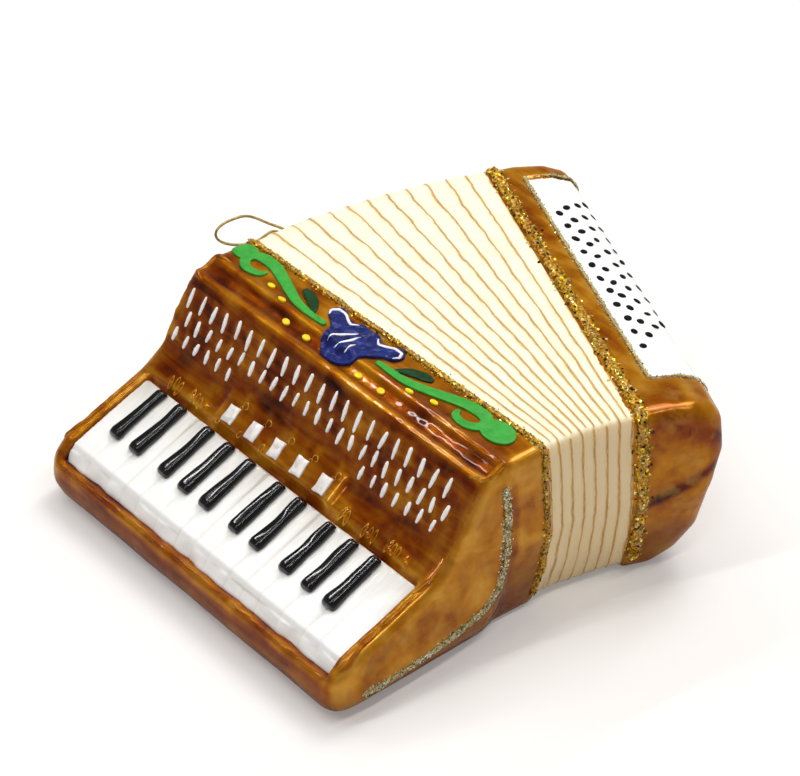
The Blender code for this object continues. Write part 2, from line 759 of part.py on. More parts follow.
def black_key(y):
    """One raised black key: rounded along its top, blunt at the front, narrower behind."""
    start = KEY_BACK_DEPTH + BLACK_BACK_MARGIN
    profile = [(0.0, 0.80, 0.55), (0.06, 0.86, 0.95), (0.55, 0.92, 0.90), (0.90, 1.0, 1.0)]
    profile += [(0.97, 0.94, 0.75), (1.0, 0.80, 0.25)]
    rings = []
    for along, width, height in profile:
        depth = start + BLACK_LENGTH * along
        half = BLACK_WIDTH * width / 2.0
        rise = BLACK_HEIGHT * height
        section = [(-1.0, 0.0), (-0.95, 0.55), (-0.55, 1.0), (0.55, 1.0), (0.95, 0.55), (1.0, 0.0)]
        ring = []
        for side, up in section:
            x, z = on_keys(depth, GAP + rise * up)
            ring.append(Vector((x, treble_y(x, y, z) + side * half, z)))
        rings.append(ring)
    return loft(rings)


def grille_point(share, y, rise):
    """A point over the grille's slope: share runs from its foot to its top."""
    foot = Vector((-GRILLE_FOOT_DEPTH, GRILLE_FOOT_HEIGHT))
    top = Vector((-GRILLE_TOP_DEPTH, GRILLE_TOP_HEIGHT))
    slope = (top - foot).normalized()
    place = foot + (top - foot) * share + Vector((-slope.y, slope.x)) * rise
    return Vector((place.x, y, place.y))


def ledge_point(share, y, rise):
    """A point over the slope between the keys and the grille."""
    low = Vector((-KEY_BACK_DEPTH + COAT_CLEARANCE * 3.0, KEY_BACK_HEIGHT + STEP_RISE))
    high = Vector((-GRILLE_FOOT_DEPTH, GRILLE_FOOT_HEIGHT))
    slope = (high - low).normalized()
    place = low + (high - low) * share + Vector((-slope.y, slope.x)) * rise
    return Vector((place.x, y, place.y))


def tab_positions():
    return [FIRST_TAB_Y - index * TAB_PITCH for index in range(TAB_COUNT)]


def register_block():
    """The raised ledge that carries the register tabs, one shape with the glass."""
    half = TAB_SIZE / 2.0 + TAB_MARGIN
    ys = (tab_positions()[-1] - half, tab_positions()[0] + half)
    rings = []
    slope = BLOCK_END_SLOPE
    for y, rise in ((ys[0], 0.2), (ys[0] + slope, 1.0), (ys[1] - slope, 1.0), (ys[1], 0.2)):
        high = BLOCK_RISE * rise
        rings.append(
            [
                ledge_point(0.10, y, -GLASS_WALL * 0.5),
                ledge_point(0.10, y, high * 0.6),
                ledge_point(0.20, y, high),
                ledge_point(0.95, y, high),
                grille_point(0.10, y, high * 0.7),
                grille_point(0.14, y, -GLASS_WALL * 0.5),
            ]
        )
    return loft(rings)


def register_tab(y):
    """One square enamel tab with rounded corners, lying on the register block."""
    low = Vector((-KEY_BACK_DEPTH + COAT_CLEARANCE * 3.0, KEY_BACK_HEIGHT + STEP_RISE))
    high = Vector((-GRILLE_FOOT_DEPTH, GRILLE_FOOT_HEIGHT))
    reach = TAB_SIZE / 2.0 / (high - low).length
    rings = []
    for rise, size in ((0.0, 1.0), (0.6, 1.0), (1.0, 0.78)):
        ring = []
        for angle in range(0, 360, 30):
            across = math.cos(math.radians(angle))
            up = math.sin(math.radians(angle))
            square = max(abs(across), abs(up)) ** 0.75
            share = TAB_PLACE + up / square * reach * size
            out = BLOCK_RISE + GAP + TAB_THICKNESS * rise
            ring.append(ledge_point(share, y + across / square * TAB_SIZE / 2.0 * size, out))
        rings.append(ring)
    return loft(rings)


def bead(shape, centre, normal, radius):
    """A small dome of glass sunk by half into the surface."""
    upright = Vector(normal).to_track_quat("Z", "Y").to_matrix().to_4x4()
    place = Matrix.Translation(centre) @ upright
    bmesh.ops.create_icosphere(shape, subdivisions=1, radius=radius, matrix=place)


def small_relief():
    """Beads behind the keys and over the tabs, one guide shape."""
    shape = bmesh.new()
    slope = ledge_point(0.0, 0.0, 1.0) - ledge_point(0.0, 0.0, 0.0)
    blacks, plain = key_boundaries()
    for y in blacks + plain:
        bead(shape, ledge_point(0.13, y, -BEAD_RADIUS * 0.2), slope, BEAD_RADIUS)
    for y in tab_positions():
        spot = grille_point(0.15, y - TAB_SIZE * 0.4, -BEAD_RADIUS * 0.1)
        bead(shape, spot, slope, BEAD_RADIUS)
    return shape


def stroke(shape, share, y, length):
    """One raised stroke of the grille, leaning a little, sunk by half into the slope."""
    top = Vector((-GRILLE_TOP_DEPTH, GRILLE_TOP_HEIGHT))
    foot = Vector((-GRILLE_FOOT_DEPTH, GRILLE_FOOT_HEIGHT))
    reach = length / 2.0 / (top - foot).length
    half = STROKE_WIDTH / 2.0
    outline = [(-1.0, 0.0), (-0.75, 0.8), (0.75, 0.8), (1.0, 0.0), (0.75, -0.8), (-0.75, -0.8)]
    rings = []
    for rise, size in ((-STROKE_RISE, 1.0), (STROKE_RISE, 0.6)):
        ring = []
        for along, across in outline:
            lean = along * STROKE_LEAN
            place = grille_point(share + along * reach * (0.85 + 0.15 * size), y, rise)
            ring.append(shape.verts.new(place + Vector((0.0, lean + across * half * size, 0.0))))
        rings.append(ring)
    for low, high in zip(rings, rings[1:]):
        for index in range(len(outline)):
            follow = (index + 1) % len(outline)
            shape.faces.new((low[index], low[follow], high[follow], high[index]))
    shape.faces.new(rings[0])
    shape.faces.new(rings[-1])


def grille_strokes():
    """Three rows of strokes; the lower rows leave room for the register block."""
    shape = bmesh.new()
    half = TAB_SIZE / 2.0 + TAB_MARGIN + STROKE_WIDTH
    block = (tab_positions()[-1] - half, tab_positions()[0] + half)
    for row, (count, share, length) in enumerate(STROKE_ROWS):
        pitch = STROKE_SPAN / count
        for index in range(count):
            y = STROKE_SPAN / 2.0 - pitch * (index + 0.5 * (row % 2))
            if row == 2 and block[0] < y < block[1]:
                continue
            stroke(shape, share, y, length)
    return shape


# Glitter lines


def swept_bead(path, normals, width, rise, closed=False):
    """A bead with a flat back swept along a path, its back a gap above the surface."""
    rings = []
    count = len(path)
    for index, (point, normal) in enumerate(zip(path, normals)):
        before = path[index - 1] if closed or index > 0 else point
        after = path[(index + 1) % count] if closed or index < count - 1 else point
        forward = (after - before).normalized()
        side = forward.cross(normal).normalized()
        up = side.cross(forward).normalized()
        section = [(-0.5, 0.0), (-0.38, 0.7), (0.0, 1.0), (0.38, 0.7), (0.5, 0.0)]
        rings.append([point + side * across * width + up * (GAP + rise * high) for across, high in section])
    return loft(rings, closed)


def rim_line(corner):
    """The outline round a box beside its joint, from the near foot over the deck to the far foot."""
    widest = HALF_LENGTH + SEAM_BULGE
    edge = [(end, DECK_HEIGHT - round_over(end, corner)) for end in end_stations(corner)[::-1]]
    top = [((widest - end) * (HALF_LENGTH + side_bulge(z)) / widest, z) for end, z in edge]
    sides = [((SEAM_HEIGHT + DECK_HEIGHT) / 2.0), SEAM_HEIGHT, SEAM_HEIGHT / 2.0, GLITTER_FOOT]
    half = [Vector(point) for point in top] + [Vector((HALF_LENGTH + side_bulge(z), z)) for z in sides]
    return [Vector((-point.x, point.y)) for point in half[::-1]] + half


def outward(line, index):
    """The normal of an open line of points at one of them, to the left of its direction."""
    side = (line[min(index + 1, len(line) - 1)] - line[max(index - 1, 0)]).normalized()
    return Vector((-side.y, side.x))


def treble_joint_glitter():
    line = rim_line(EDGE_RADIUS)
    depth = JOINT_GLITTER_MARGIN + JOINT_GLITTER_WIDTH / 2.0
    path = [Vector((-depth, point.x, point.y)) for point in line]
    normals = [Vector((0.0, *outward(line, index))) for index in range(len(line))]
    return swept_bead(path, normals, JOINT_GLITTER_WIDTH, GLITTER_RISE)


def bass_joint_glitter():
    line = rim_line(BASS_EDGE_RADIUS)
    out = JOINT_GLITTER_MARGIN + BASS_GLITTER_WIDTH / 2.0
    path = [bass_point(out, FAN_RADIUS + point.x, point.y) for point in line]
    origin = bass_point(0.0, 0.0, 0.0)
    normals = []
    for index in range(len(line)):
        along, high = outward(line, index)
        normals.append(bass_point(0.0, along, high) - origin)
    return swept_bead(path, normals, BASS_GLITTER_WIDTH, GLITTER_RISE)


def border_glitter():
    """The silver line round the white bass panel."""
    line = panel_line()
    margin = BORDER_GLITTER_WIDTH / 2.0
    near = PANEL_NEAR_MARGIN - HALF_LENGTH - margin
    far = HALF_LENGTH - PANEL_FAR_MARGIN + margin
    section = [Vector((line[0].x - margin, line[0].y))] + line[1:]
    path, normals = [], []
    origin = bass_point(0.0, 0.0, 0.0)
    for along, order in ((far, 1), (near, -1)):
        for index in range(len(section))[::order]:
            out, high = outward(section, index)
            path.append(bass_place(section[index].x, along, section[index].y))
            normals.append(bass_point(out, 0.0, high) - origin)
    return swept_bead(path, normals, BORDER_GLITTER_WIDTH, GLITTER_RISE * 0.6, closed=True)


def cheek_glitter(side):
    """The curved line on one end of the treble box, along the edge of the keyboard's cheek."""
    path, normals = [], []
    steps = 9
    top = DECK_HEIGHT - CHEEK_LINE_TOP_DROP
    bend = CHEEK_LINE_BEND_DEPTH
    reach = TREBLE_DEPTH - CHEEK_LINE_FRONT_MARGIN - bend
    drop = CHEEK_LINE_BEND_HEIGHT - CHEEK_LINE_FRONT_HEIGHT
    for step in range(steps + 1):
        share = step / steps
        depth = CHEEK_LINE_TOP_DEPTH + (bend - CHEEK_LINE_TOP_DEPTH) * share**3
        path.append((-depth, top + (CHEEK_LINE_BEND_HEIGHT - top) * share))
    for step in range(1, steps + 1):
        share = step / steps
        turn = math.sin(share * math.pi / 2.0)
        path.append((-bend - reach * share, CHEEK_LINE_BEND_HEIGHT - drop * turn**0.55))
    points = []
    for x, z in path:
        y = side * treble_y(x, HALF_LENGTH + SEAM_BULGE, z)
        points.append(Vector((x, y, z)))
        normals.append(Vector((0.0, side, 0.0)))
    return swept_bead(points, normals, CHEEK_GLITTER_WIDTH, GLITTER_RISE * 0.8)


# Painted decoration on the deck


def smooth_path(points, steps=4, closed=False):
    """A smooth curve through the given points."""
    count = len(points)
    spans = count if closed else count - 1
    curve = []
    for index in range(spans):
        if closed:
            p0, p1, p2, p3 = (Vector(points[(index + shift) % count]) for shift in (-1, 0, 1, 2))
        else:
            p0, p1, p2, p3 = (
                Vector(points[min(max(index + shift, 0), count - 1)]) for shift in (-1, 0, 1, 2)
            )
        for step in range(steps):
            t = step / steps
            curve.append(
                0.5
                * (
                    2.0 * p1
                    + (p2 - p0) * t
                    + (2.0 * p0 - 5.0 * p1 + 4.0 * p2 - p3) * t**2
                    + (3.0 * p1 - p0 - 3.0 * p2 + p3) * t**3
                )
            )
    if not closed:
        curve.append(Vector(points[-1]))
    return curve


def ribbon(points, widths, steps=3):
    """Outline of a brush stroke along a path, with its width given at each point."""
    path = smooth_path(points, steps)
    left, right = [], []
    for index, point in enumerate(path):
        place = index / steps
        low = min(int(place), len(widths) - 2)
        width = widths[low] + (widths[low + 1] - widths[low]) * (place - low)
        before, after = path[max(index - 1, 0)], path[min(index + 1, len(path) - 1)]
        side = (after - before).normalized()
        normal = Vector((-side.y, side.x))
        left.append(point + normal * width / 2.0)
        right.append(point - normal * width / 2.0)
    return left + right[::-1]


def draped(outline, lift=0.0, thickness=PAINT_THICKNESS):
    """A thin sheet of paint with a given outline that follows the glass under it."""
    shape = bmesh.new()
    shape.faces.new([shape.verts.new((x, y, 0.0)) for x, y in outline])
    profile = recessed_line()
    xs = [x for x, z in outline]
    for x, z in profile:
        if min(xs) + GAP < x < max(xs) - GAP:
            parts = shape.verts[:] + shape.edges[:] + shape.faces[:]
            bmesh.ops.bisect_plane(
                shape, geom=parts, dist=WELD_DISTANCE, plane_co=(x, 0.0, 0.0), plane_no=(1.0, 0.0, 0.0)
            )
    bmesh.ops.triangulate(shape, faces=shape.faces)
    for vertex in shape.verts:
        vertex.co.z = height_on(profile, vertex.co.x) + GAP + lift
    grown = bmesh.ops.extrude_face_region(shape, geom=shape.faces[:])
    for item in grown["geom"]:
        if isinstance(item, bmesh.types.BMVert):
            item.co.z += thickness
    return shape


def painted(path, turn, reach=1.0):
    """A path of the decoration on one side of the flower; turn is +1 or -1."""
    return [(x, FLOWER_Y + turn * away * reach) for x, away in path]


def flower_outline():
    """A bell flower seen from the side: two curled side petals and a round cup."""
    mirrored = [(x, -away) for x, away in FLOWER_HALF[-2:0:-1]]
    return smooth_path([(x, FLOWER_Y + away) for x, away in (*FLOWER_HALF, *mirrored)], 2, closed=True)


def dot_outline(place):
    """One oval dot at a place on the deck."""
    x, y = place
    angles = [math.radians(30.0 * step) for step in range(12)]
    return [(x + DOT_RADIUS * math.cos(a), y + DOT_RADIUS * DOT_STRETCH * math.sin(a)) for a in angles]


def dot_places():
    """Four dots on each side of the flower, in an arc over the ridges."""
    return painted(DOT_ARC, 1.0) + painted(DOT_ARC, -1.0)


# Neck, cap and hanger


def rod(start, end, radius, segments=24):
    """A plain round bar along the neck's axis."""
    rings = []
    for along in (start, end):
        angles = [math.tau * index / segments for index in range(segments)]
        rings.append([Vector((math.cos(a) * radius, along, math.sin(a) * radius)) for a in angles])
    return loft(rings)


def neck_tube():
    """The neck with a slight flare where it leaves the bellows; its hollow is cut later."""
    segments = 24
    flare = NECK_RADIUS * 0.12
    stations = [(-GLASS_WALL * 2.0, flare), (GAP, flare), (GAP * 4.0, 0.0), (NECK_LENGTH, 0.0)]
    rings = []
    for along, wider in stations:
        angles = [math.tau * index / segments for index in range(segments)]
        radius = NECK_RADIUS + wider
        rings.append([Vector((math.cos(a) * radius, along, math.sin(a) * radius)) for a in angles])
    return loft(rings)


def cap_shell():
    """The cap: a crown disc and a skirt whose flutes deepen towards its rim."""
    bore = NECK_RADIUS + CAP_CLEARANCE + CAP_FLUTE_DEPTH
    rim = NECK_LENGTH + CAP_CLEARANCE - CAP_SKIRT
    crown = NECK_LENGTH + CAP_CLEARANCE
    segments = CAP_FLUTES * CAP_FLUTE_STEPS

    def ring(radius, along, flute):
        points = []
        for index in range(segments):
            angle = math.tau * index / segments
            spread = radius + flute * math.cos(angle * CAP_FLUTES)
            points.append(Vector((math.cos(angle) * spread, along, math.sin(angle) * spread)))
        return points

    outer = bore + CAP_SHEET
    knee = crown - CAP_SKIRT * 0.30
    rings = [
        ring(bore * 0.5, crown, 0.0),
        ring(bore - CAP_SHEET, crown, 0.0),
        ring(bore, knee, 0.0),
        ring(bore, rim, CAP_FLUTE_DEPTH),
        ring(outer, rim, CAP_FLUTE_DEPTH),
        ring(outer, knee, 0.0),
        ring(outer - CAP_SHEET * 0.6, crown + CAP_SHEET * 0.6, 0.0),
        ring(outer - CAP_SHEET * 2.0, crown + CAP_SHEET, 0.0),
    ]
    return loft(rings)


def wire_points():
    """The hanger's way: up one splayed leg, round the bent loop and down the other leg."""
    crown = NECK_LENGTH + CAP_CLEARANCE + CAP_SHEET
    hole = CAP_HOLE_SPACING / 2.0
    inside = -LEG_DEPTH
    leg = [(LEG_SPREAD, inside, 0.0), (LEG_SPREAD * 0.62, inside * 0.6, 0.0), (hole, inside * 0.22, 0.0)]
    leg += [(hole, 0.0, 0.0), (hole, crown * 0.5, 0.0), (hole, crown, 0.0)]
    apart = WIRE_RADIUS * 1.4
    side, far = -LOOP_LEAN, crown + LOOP_STAND
    tip = (side + LOOP_LENGTH / 2.0, far - LOOP_WIDTH * 0.22)
    rise = LOOP_RISE
    right = leg + [
        (hole * 1.05, crown + LOOP_STAND * 0.22, rise * 0.22),
        (hole * 0.7, crown + LOOP_STAND * 0.50, rise * 0.62),
        (tip[0] + WIRE_RADIUS * 4.0, tip[1] - WIRE_RADIUS * 3.4, rise * 0.96 + apart * 0.5),
        (tip[0], tip[1], rise + apart),
    ]
    left = [(-x, y, z) for x, y, z in leg] + [
        (-hole * 0.9, crown + LOOP_STAND * 0.22, rise * 0.20),
        (-hole * 0.25, crown + LOOP_STAND * 0.48, rise * 0.55),
        (tip[0] + WIRE_RADIUS * 3.4, tip[1] - WIRE_RADIUS * 6.3, rise * 0.90 - apart * 0.8),
        (tip[0] - WIRE_RADIUS * 1.1, tip[1] - WIRE_RADIUS * 2.0, rise - apart),
    ]
    loop = []
    for angle in (50.0, 80.0, 110.0, 140.0, 170.0, 200.0, 230.0, 260.0, 290.0):
        turn = math.radians(angle)
        share = (angle - 50.0) / 240.0
        x = side + math.cos(turn) * LOOP_LENGTH / 2.0
        y = far + math.sin(turn) * LOOP_WIDTH / 2.0
        loop.append((x, y, rise + apart * (1.0 - 2.0 * share)))
    return right + loop + left[::-1]


def hanger_wire(parent, look):
    """The hanger as one bent wire with closed ends."""
    path = smooth_path(wire_points(), 2)
    curve = bpy.data.curves.new("hanger_wire", "CURVE")
    curve.dimensions = "3D"
    curve.bevel_depth = WIRE_RADIUS
    curve.bevel_resolution = 1
    curve.use_fill_caps = True
    spline = curve.splines.new("POLY")
    spline.points.add(len(path) - 1)
    for point, place in zip(spline.points, path):
        point.co = (*place, 1.0)
    curve.materials.append(look)
    made = bpy.data.objects.new("hanger_wire", curve)
    bpy.context.scene.collection.objects.link(made)
    made.parent = parent
    return made


def build_glass(root, neck):
    """The blown body with its neck, small relief and hollow."""
    glass = add_object("glass_body", treble_form(), root, material("amber_lacquer", AMBER, 0.12, 0.35))
    boolean(glass, add_object("bellows_core", bellows_form(), root), "UNION")
    boolean(glass, add_object("bass_core", bass_form(), root), "UNION")
    boolean(glass, add_object("neck_core", neck_tube(), neck), "UNION")
    boolean(glass, add_object("register_block", register_block(), root), "UNION")
    boolean(glass, add_object("grille_strokes", grille_strokes(), root), "UNION")
    boolean(glass, add_object("small_beads", small_relief(), root), "UNION")
    boolean(glass, add_object("treble_hollow", treble_form(GLASS_WALL), root), "DIFFERENCE")
    boolean(glass, add_object("bellows_hollow", bellows_hollow(GLASS_WALL), root), "DIFFERENCE")
    boolean(glass, add_object("bass_hollow", bass_form(GLASS_WALL), root), "DIFFERENCE")
    bore = rod(-GLASS_WALL * 4.0, NECK_LENGTH + GLASS_WALL, NECK_RADIUS - NECK_WALL)
    boolean(glass, add_object("neck_bore", bore, neck), "DIFFERENCE")


def build_lining(root, neck):
    """The silver coat on the inside of the glass, open at the neck."""
    outside = GLASS_WALL + GAP
    inside = outside + SILVER_COAT
    lining = add_object("silver_lining", treble_form(outside), root, material("silver", SILVER, 0.1, 1.0))
    boolean(lining, add_object("lining_bellows", bellows_hollow(outside), root), "UNION")
    boolean(lining, add_object("lining_bass", bass_form(outside), root), "UNION")
    boolean(lining, add_object("lining_treble_hollow", treble_form(inside), root), "DIFFERENCE")
    boolean(lining, add_object("lining_bellows_hollow", bellows_hollow(inside), root), "DIFFERENCE")
    boolean(lining, add_object("lining_bass_hollow", bass_form(inside), root), "DIFFERENCE")
    bore = rod(-GLASS_WALL * 6.0, NECK_LENGTH, NECK_RADIUS - NECK_WALL)
    boolean(lining, add_object("lining_neck_hole", bore, neck), "DIFFERENCE")


def build_keyboard(root):
    add_object("white_keys", white_keys(), root, material("white_enamel", WHITE, 0.30))
    black = material("black_enamel", BLACK, 0.10)
    for number, y in enumerate(key_boundaries()[0], start=1):
        add_object(f"black_key_{number:02d}", black_key(y), root, black)
    tab_look = material("tab_enamel", WHITE, 0.25)
    for number, y in enumerate(tab_positions(), start=1):
        add_object(f"register_tab_{number}", register_tab(y), root, tab_look)


def build_bellows(root, neck):
    coat = add_object("bellows_enamel", bellows_coat(), root, material("cream_enamel", CREAM, 0.35))
    hole = rod(-NECK_RADIUS * 1.5, NECK_LENGTH, NECK_RADIUS * 1.12 + COAT_CLEARANCE)
    boolean(coat, add_object("coat_neck_hole", hole, neck), "DIFFERENCE")


def build_bass_panel(root):
    panel = add_object("bass_panel", bass_panel(), root, material("panel_enamel", WHITE, 0.25))
    boolean(panel, add_object("panel_buttons", panel_buttons(), root), "UNION")


def build_glitter(root):
    gold = material("gold_glitter", GOLD, 0.40, 0.9)
    pale = material("pale_glitter", PALE_GOLD, 0.45, 0.8)
    add_object("treble_joint_glitter", treble_joint_glitter(), root, gold)
    add_object("bass_joint_glitter", bass_joint_glitter(), root, gold)
    add_object("panel_border_glitter", border_glitter(), root, pale)
    add_object("near_cheek_glitter", cheek_glitter(-1.0), root, pale)
    add_object("far_cheek_glitter", cheek_glitter(1.0), root, pale)


def build_paint(root):
    green = material("leaf_green_paint", LEAF_GREEN, 0.35)
    dark = material("dark_green_paint", DARK_GREEN, 0.35)
    for name, turn, reach in (("far", 1.0, 1.0), ("near", -1.0, 1.02)):
        stem = ribbon(painted(VINE_PATH, turn, reach), VINE_WIDTHS)
        drop = ribbon(painted(BULB_PATH, turn, reach), BULB_WIDTHS)
        leaf = ribbon(painted(LEAF_PATH, turn), LEAF_WIDTHS)
        vine = add_object(f"vine_{name}", draped(stem), root, green)
        bulb = draped(drop, -BULB_LIFT, PAINT_THICKNESS + BULB_EXTRA)
        boolean(vine, add_object(f"bulb_{name}", bulb, root), "UNION")
        add_object(f"leaf_{name}", draped(leaf), root, dark)
    add_object("flower", draped(flower_outline()), root, material("blue_paint", BLUE, 0.3))
    yellow = material("yellow_paint", YELLOW, 0.35)
    for number, place in enumerate(dot_places(), start=1):
        add_object(f"yellow_dot_{number}", draped(dot_outline(place)), root, yellow)


def build_hanger(neck):
    """The cap turns about the neck's axis and the wire slides along it."""
    brass = material("brass", BRASS, 0.3, 1.0)
    cap = add_object("hanger_cap", cap_shell(), neck, brass)
    for side in (-1.0, 1.0):
        hole = rod(NECK_LENGTH - GAP, NECK_LENGTH + CAP_SHEET * 4.0, CAP_HOLE_RADIUS, 12)
        drill = add_object("cap_hole", hole, neck)
        drill.location.x = side * CAP_HOLE_SPACING / 2.0
        boolean(cap, drill, "DIFFERENCE")
    hanger_wire(neck, brass)


def stand_over_origin(root):
    """Move the whole ornament so that its box stands centred over the origin."""
    bpy.context.view_layer.update()
    graph = bpy.context.evaluated_depsgraph_get()
    corners = []
    for item in bpy.data.objects:
        if item.type != "EMPTY" and not item.hide_render:
            shown = item.evaluated_get(graph)
            mesh = shown.to_mesh()
            corners += [shown.matrix_world @ vertex.co for vertex in mesh.vertices]
            shown.to_mesh_clear()
    low = [min(corner[axis] for corner in corners) for axis in range(3)]
    high = [max(corner[axis] for corner in corners) for axis in range(3)]
    root.location = (-(low[0] + high[0]) / 2.0, -(low[1] + high[1]) / 2.0, -low[2])


def build():
    clear_scene()
    root = empty("ornament", None, Matrix())
    foot = fan_point(NECK_ANGLE, FAR_RADIUS, SEAM_HEIGHT)
    neck = empty("neck_axis", root, Matrix.Translation(foot) @ Matrix.Rotation(-NECK_ANGLE, 4, "Z"))
    build_glass(root, neck)
    build_lining(root, neck)
    build_keyboard(root)
    build_bellows(root, neck)
    build_bass_panel(root)
    build_glitter(root)
    build_paint(root)
    build_hanger(neck)
    stand_over_origin(root)


build()
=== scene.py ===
"""Looks of a hanging glass ornament in the shape of a piano accordion, lying on its back.

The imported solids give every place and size. Each section makes one piece, or a group of like pieces,
in the order in which such an ornament is blown, silvered, painted, glittered and capped.
"""

import json
import math
import random

import bpy
import numpy as np
from mathutils import Matrix, Quaternion, Vector, noise
from mathutils.bvhtree import BVHTree


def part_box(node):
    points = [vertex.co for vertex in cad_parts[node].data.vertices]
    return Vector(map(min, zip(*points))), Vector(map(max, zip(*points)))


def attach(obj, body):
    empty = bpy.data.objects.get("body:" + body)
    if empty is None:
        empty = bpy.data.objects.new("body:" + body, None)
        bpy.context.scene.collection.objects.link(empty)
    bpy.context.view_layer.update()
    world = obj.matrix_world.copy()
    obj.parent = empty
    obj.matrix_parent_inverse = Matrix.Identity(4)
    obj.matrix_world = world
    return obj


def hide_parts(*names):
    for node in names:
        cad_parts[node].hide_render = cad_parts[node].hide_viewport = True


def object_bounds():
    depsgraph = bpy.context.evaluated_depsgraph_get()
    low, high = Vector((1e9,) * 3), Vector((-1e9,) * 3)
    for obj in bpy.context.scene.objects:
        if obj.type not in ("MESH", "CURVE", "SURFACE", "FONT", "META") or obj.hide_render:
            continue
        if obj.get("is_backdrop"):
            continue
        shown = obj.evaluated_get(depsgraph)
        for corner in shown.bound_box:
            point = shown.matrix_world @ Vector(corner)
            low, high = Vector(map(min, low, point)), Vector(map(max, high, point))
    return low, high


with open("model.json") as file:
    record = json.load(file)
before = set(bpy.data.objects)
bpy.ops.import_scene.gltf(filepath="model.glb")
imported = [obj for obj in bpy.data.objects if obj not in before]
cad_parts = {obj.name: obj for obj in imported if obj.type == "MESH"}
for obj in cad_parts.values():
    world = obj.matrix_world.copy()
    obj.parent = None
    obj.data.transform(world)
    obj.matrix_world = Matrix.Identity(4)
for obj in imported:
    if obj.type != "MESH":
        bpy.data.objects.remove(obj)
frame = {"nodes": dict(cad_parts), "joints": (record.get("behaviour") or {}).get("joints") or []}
cad_low, cad_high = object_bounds()

MM = 0.001
random.seed(7)


# Card, lamps and camera
# The ornament lies on white card, under four soft light bars and a window beyond its bass box.
# The camera looks down on the keys from their near left corner.


def linear(colour):
    """An sRGB hex colour as linear red, green, blue and alpha."""
    parts = [int(colour[place : place + 2], 16) / 255.0 for place in (1, 3, 5)]
    return [part / 12.92 if part <= 0.04045 else ((part + 0.055) / 1.055) ** 2.4 for part in parts] + [1.0]


def node(tree, kind, settings, output=0):
    """Add a node with its links, values and properties, and return the output that is read next."""
    made = tree.nodes.new("ShaderNode" + kind)
    for name, value in settings.items():
        if name == "stops":
            for index, (place, colour) in enumerate(value):
                stops = made.color_ramp.elements
                stop = stops[index] if index < 2 else stops.new(place)
                stop.position = place
                stop.color = linear(colour)
        elif isinstance(value, bpy.types.NodeSocket):
            tree.links.new(value, made.inputs[name])
        elif isinstance(name, int) or name in made.inputs:
            made.inputs[name].default_value = value
        else:
            setattr(made, name, value)
    return made.outputs[output] if made.outputs else None


def blank_material(name):
    """A material with no nodes yet, and its node tree."""
    made = bpy.data.materials.new(name)
    made.use_nodes = True
    made.node_tree.nodes.clear()
    return made, made.node_tree


def add_object(name, data):
    """A new object in the scene that holds the given data."""
    made = bpy.data.objects.new(name, data)
    scene.collection.objects.link(made)
    return made


scene = bpy.context.scene
scene.view_settings.view_transform = "Standard"

# Matt white card, lit up to plain white for the camera while it keeps the ornament's shadow
CARD_WIDTH = 6.0
CARD_GLOW = 0.19
paper, tree = blank_material("matt_white_card")
seen = node(tree, "LightPath", {}, "Is Camera Ray")
paper_light = node(tree, "Math", {"operation": "MULTIPLY", 0: seen, 1: CARD_GLOW})
paper_look = node(tree, "BsdfDiffuse", {"Color": linear("#e9e6e3")})
paper_glow = node(tree, "Emission", {"Color": linear("#ffffff"), "Strength": paper_light})
node(tree, "OutputMaterial", {"Surface": node(tree, "AddShader", {0: paper_look, 1: paper_glow})})
bpy.ops.mesh.primitive_plane_add(size=CARD_WIDTH, location=(0.0, 0.0, 0.0))
floor = bpy.context.active_object
floor.name = "card"
floor.data.materials.append(paper)
floor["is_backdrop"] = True

world = bpy.data.worlds.new("soft_room")
scene.world = world
world.use_nodes = True
world.node_tree.nodes.clear()
# The room is bright round the walls and dim overhead, where the camera hangs
way = node(world.node_tree, "TexCoord", {}, "Generated")
height = node(world.node_tree, "SeparateXYZ", {"Vector": way}, "Z")
dimming = {"From Min": 0.12, "From Max": 0.55, "To Min": 0.43, "To Max": 0.17}
brightness = node(world.node_tree, "MapRange", {"Value": height, **dimming})
room = node(world.node_tree, "Background", {"Color": linear("#f8f6f4"), "Strength": brightness})
node(world.node_tree, "OutputWorld", {"Surface": room})


def lamp(name, place, size, power, turn=0.0):
    """A soft lamp, width by length in metres, that shines at the ornament from a place in metres."""
    light = bpy.data.lights.new(name, "AREA")
    light.shape = "RECTANGLE"
    light.size, light.size_y = size
    light.energy = power
    aim = (-Vector(place)).to_track_quat("-Z", "Y") @ Quaternion((0.0, 0.0, 1.0), turn)
    add_object(name, light).matrix_world = Matrix.Translation(place) @ aim.to_matrix().to_4x4()


# Four light bars in a square overhead draw the thin bright loops on every bump of the gloss
BAR_SIZE = (0.60, 0.012)
BAR_HEIGHT = 0.52
QUARTER_TURN = math.radians(90.0)
lamp("bar_behind", (0.0, 0.36, BAR_HEIGHT), BAR_SIZE, 0.85)
lamp("bar_front", (0.0, -0.26, BAR_HEIGHT), BAR_SIZE, 0.92)
lamp("bar_left", (-0.30, 0.05, BAR_HEIGHT), BAR_SIZE, 0.78, QUARTER_TURN)
lamp("bar_right", (0.30, 0.05, BAR_HEIGHT), BAR_SIZE, 0.60, QUARTER_TURN)
lamp("window", (0.42, 0.10, 0.85), (0.45, 0.45), 3.0)

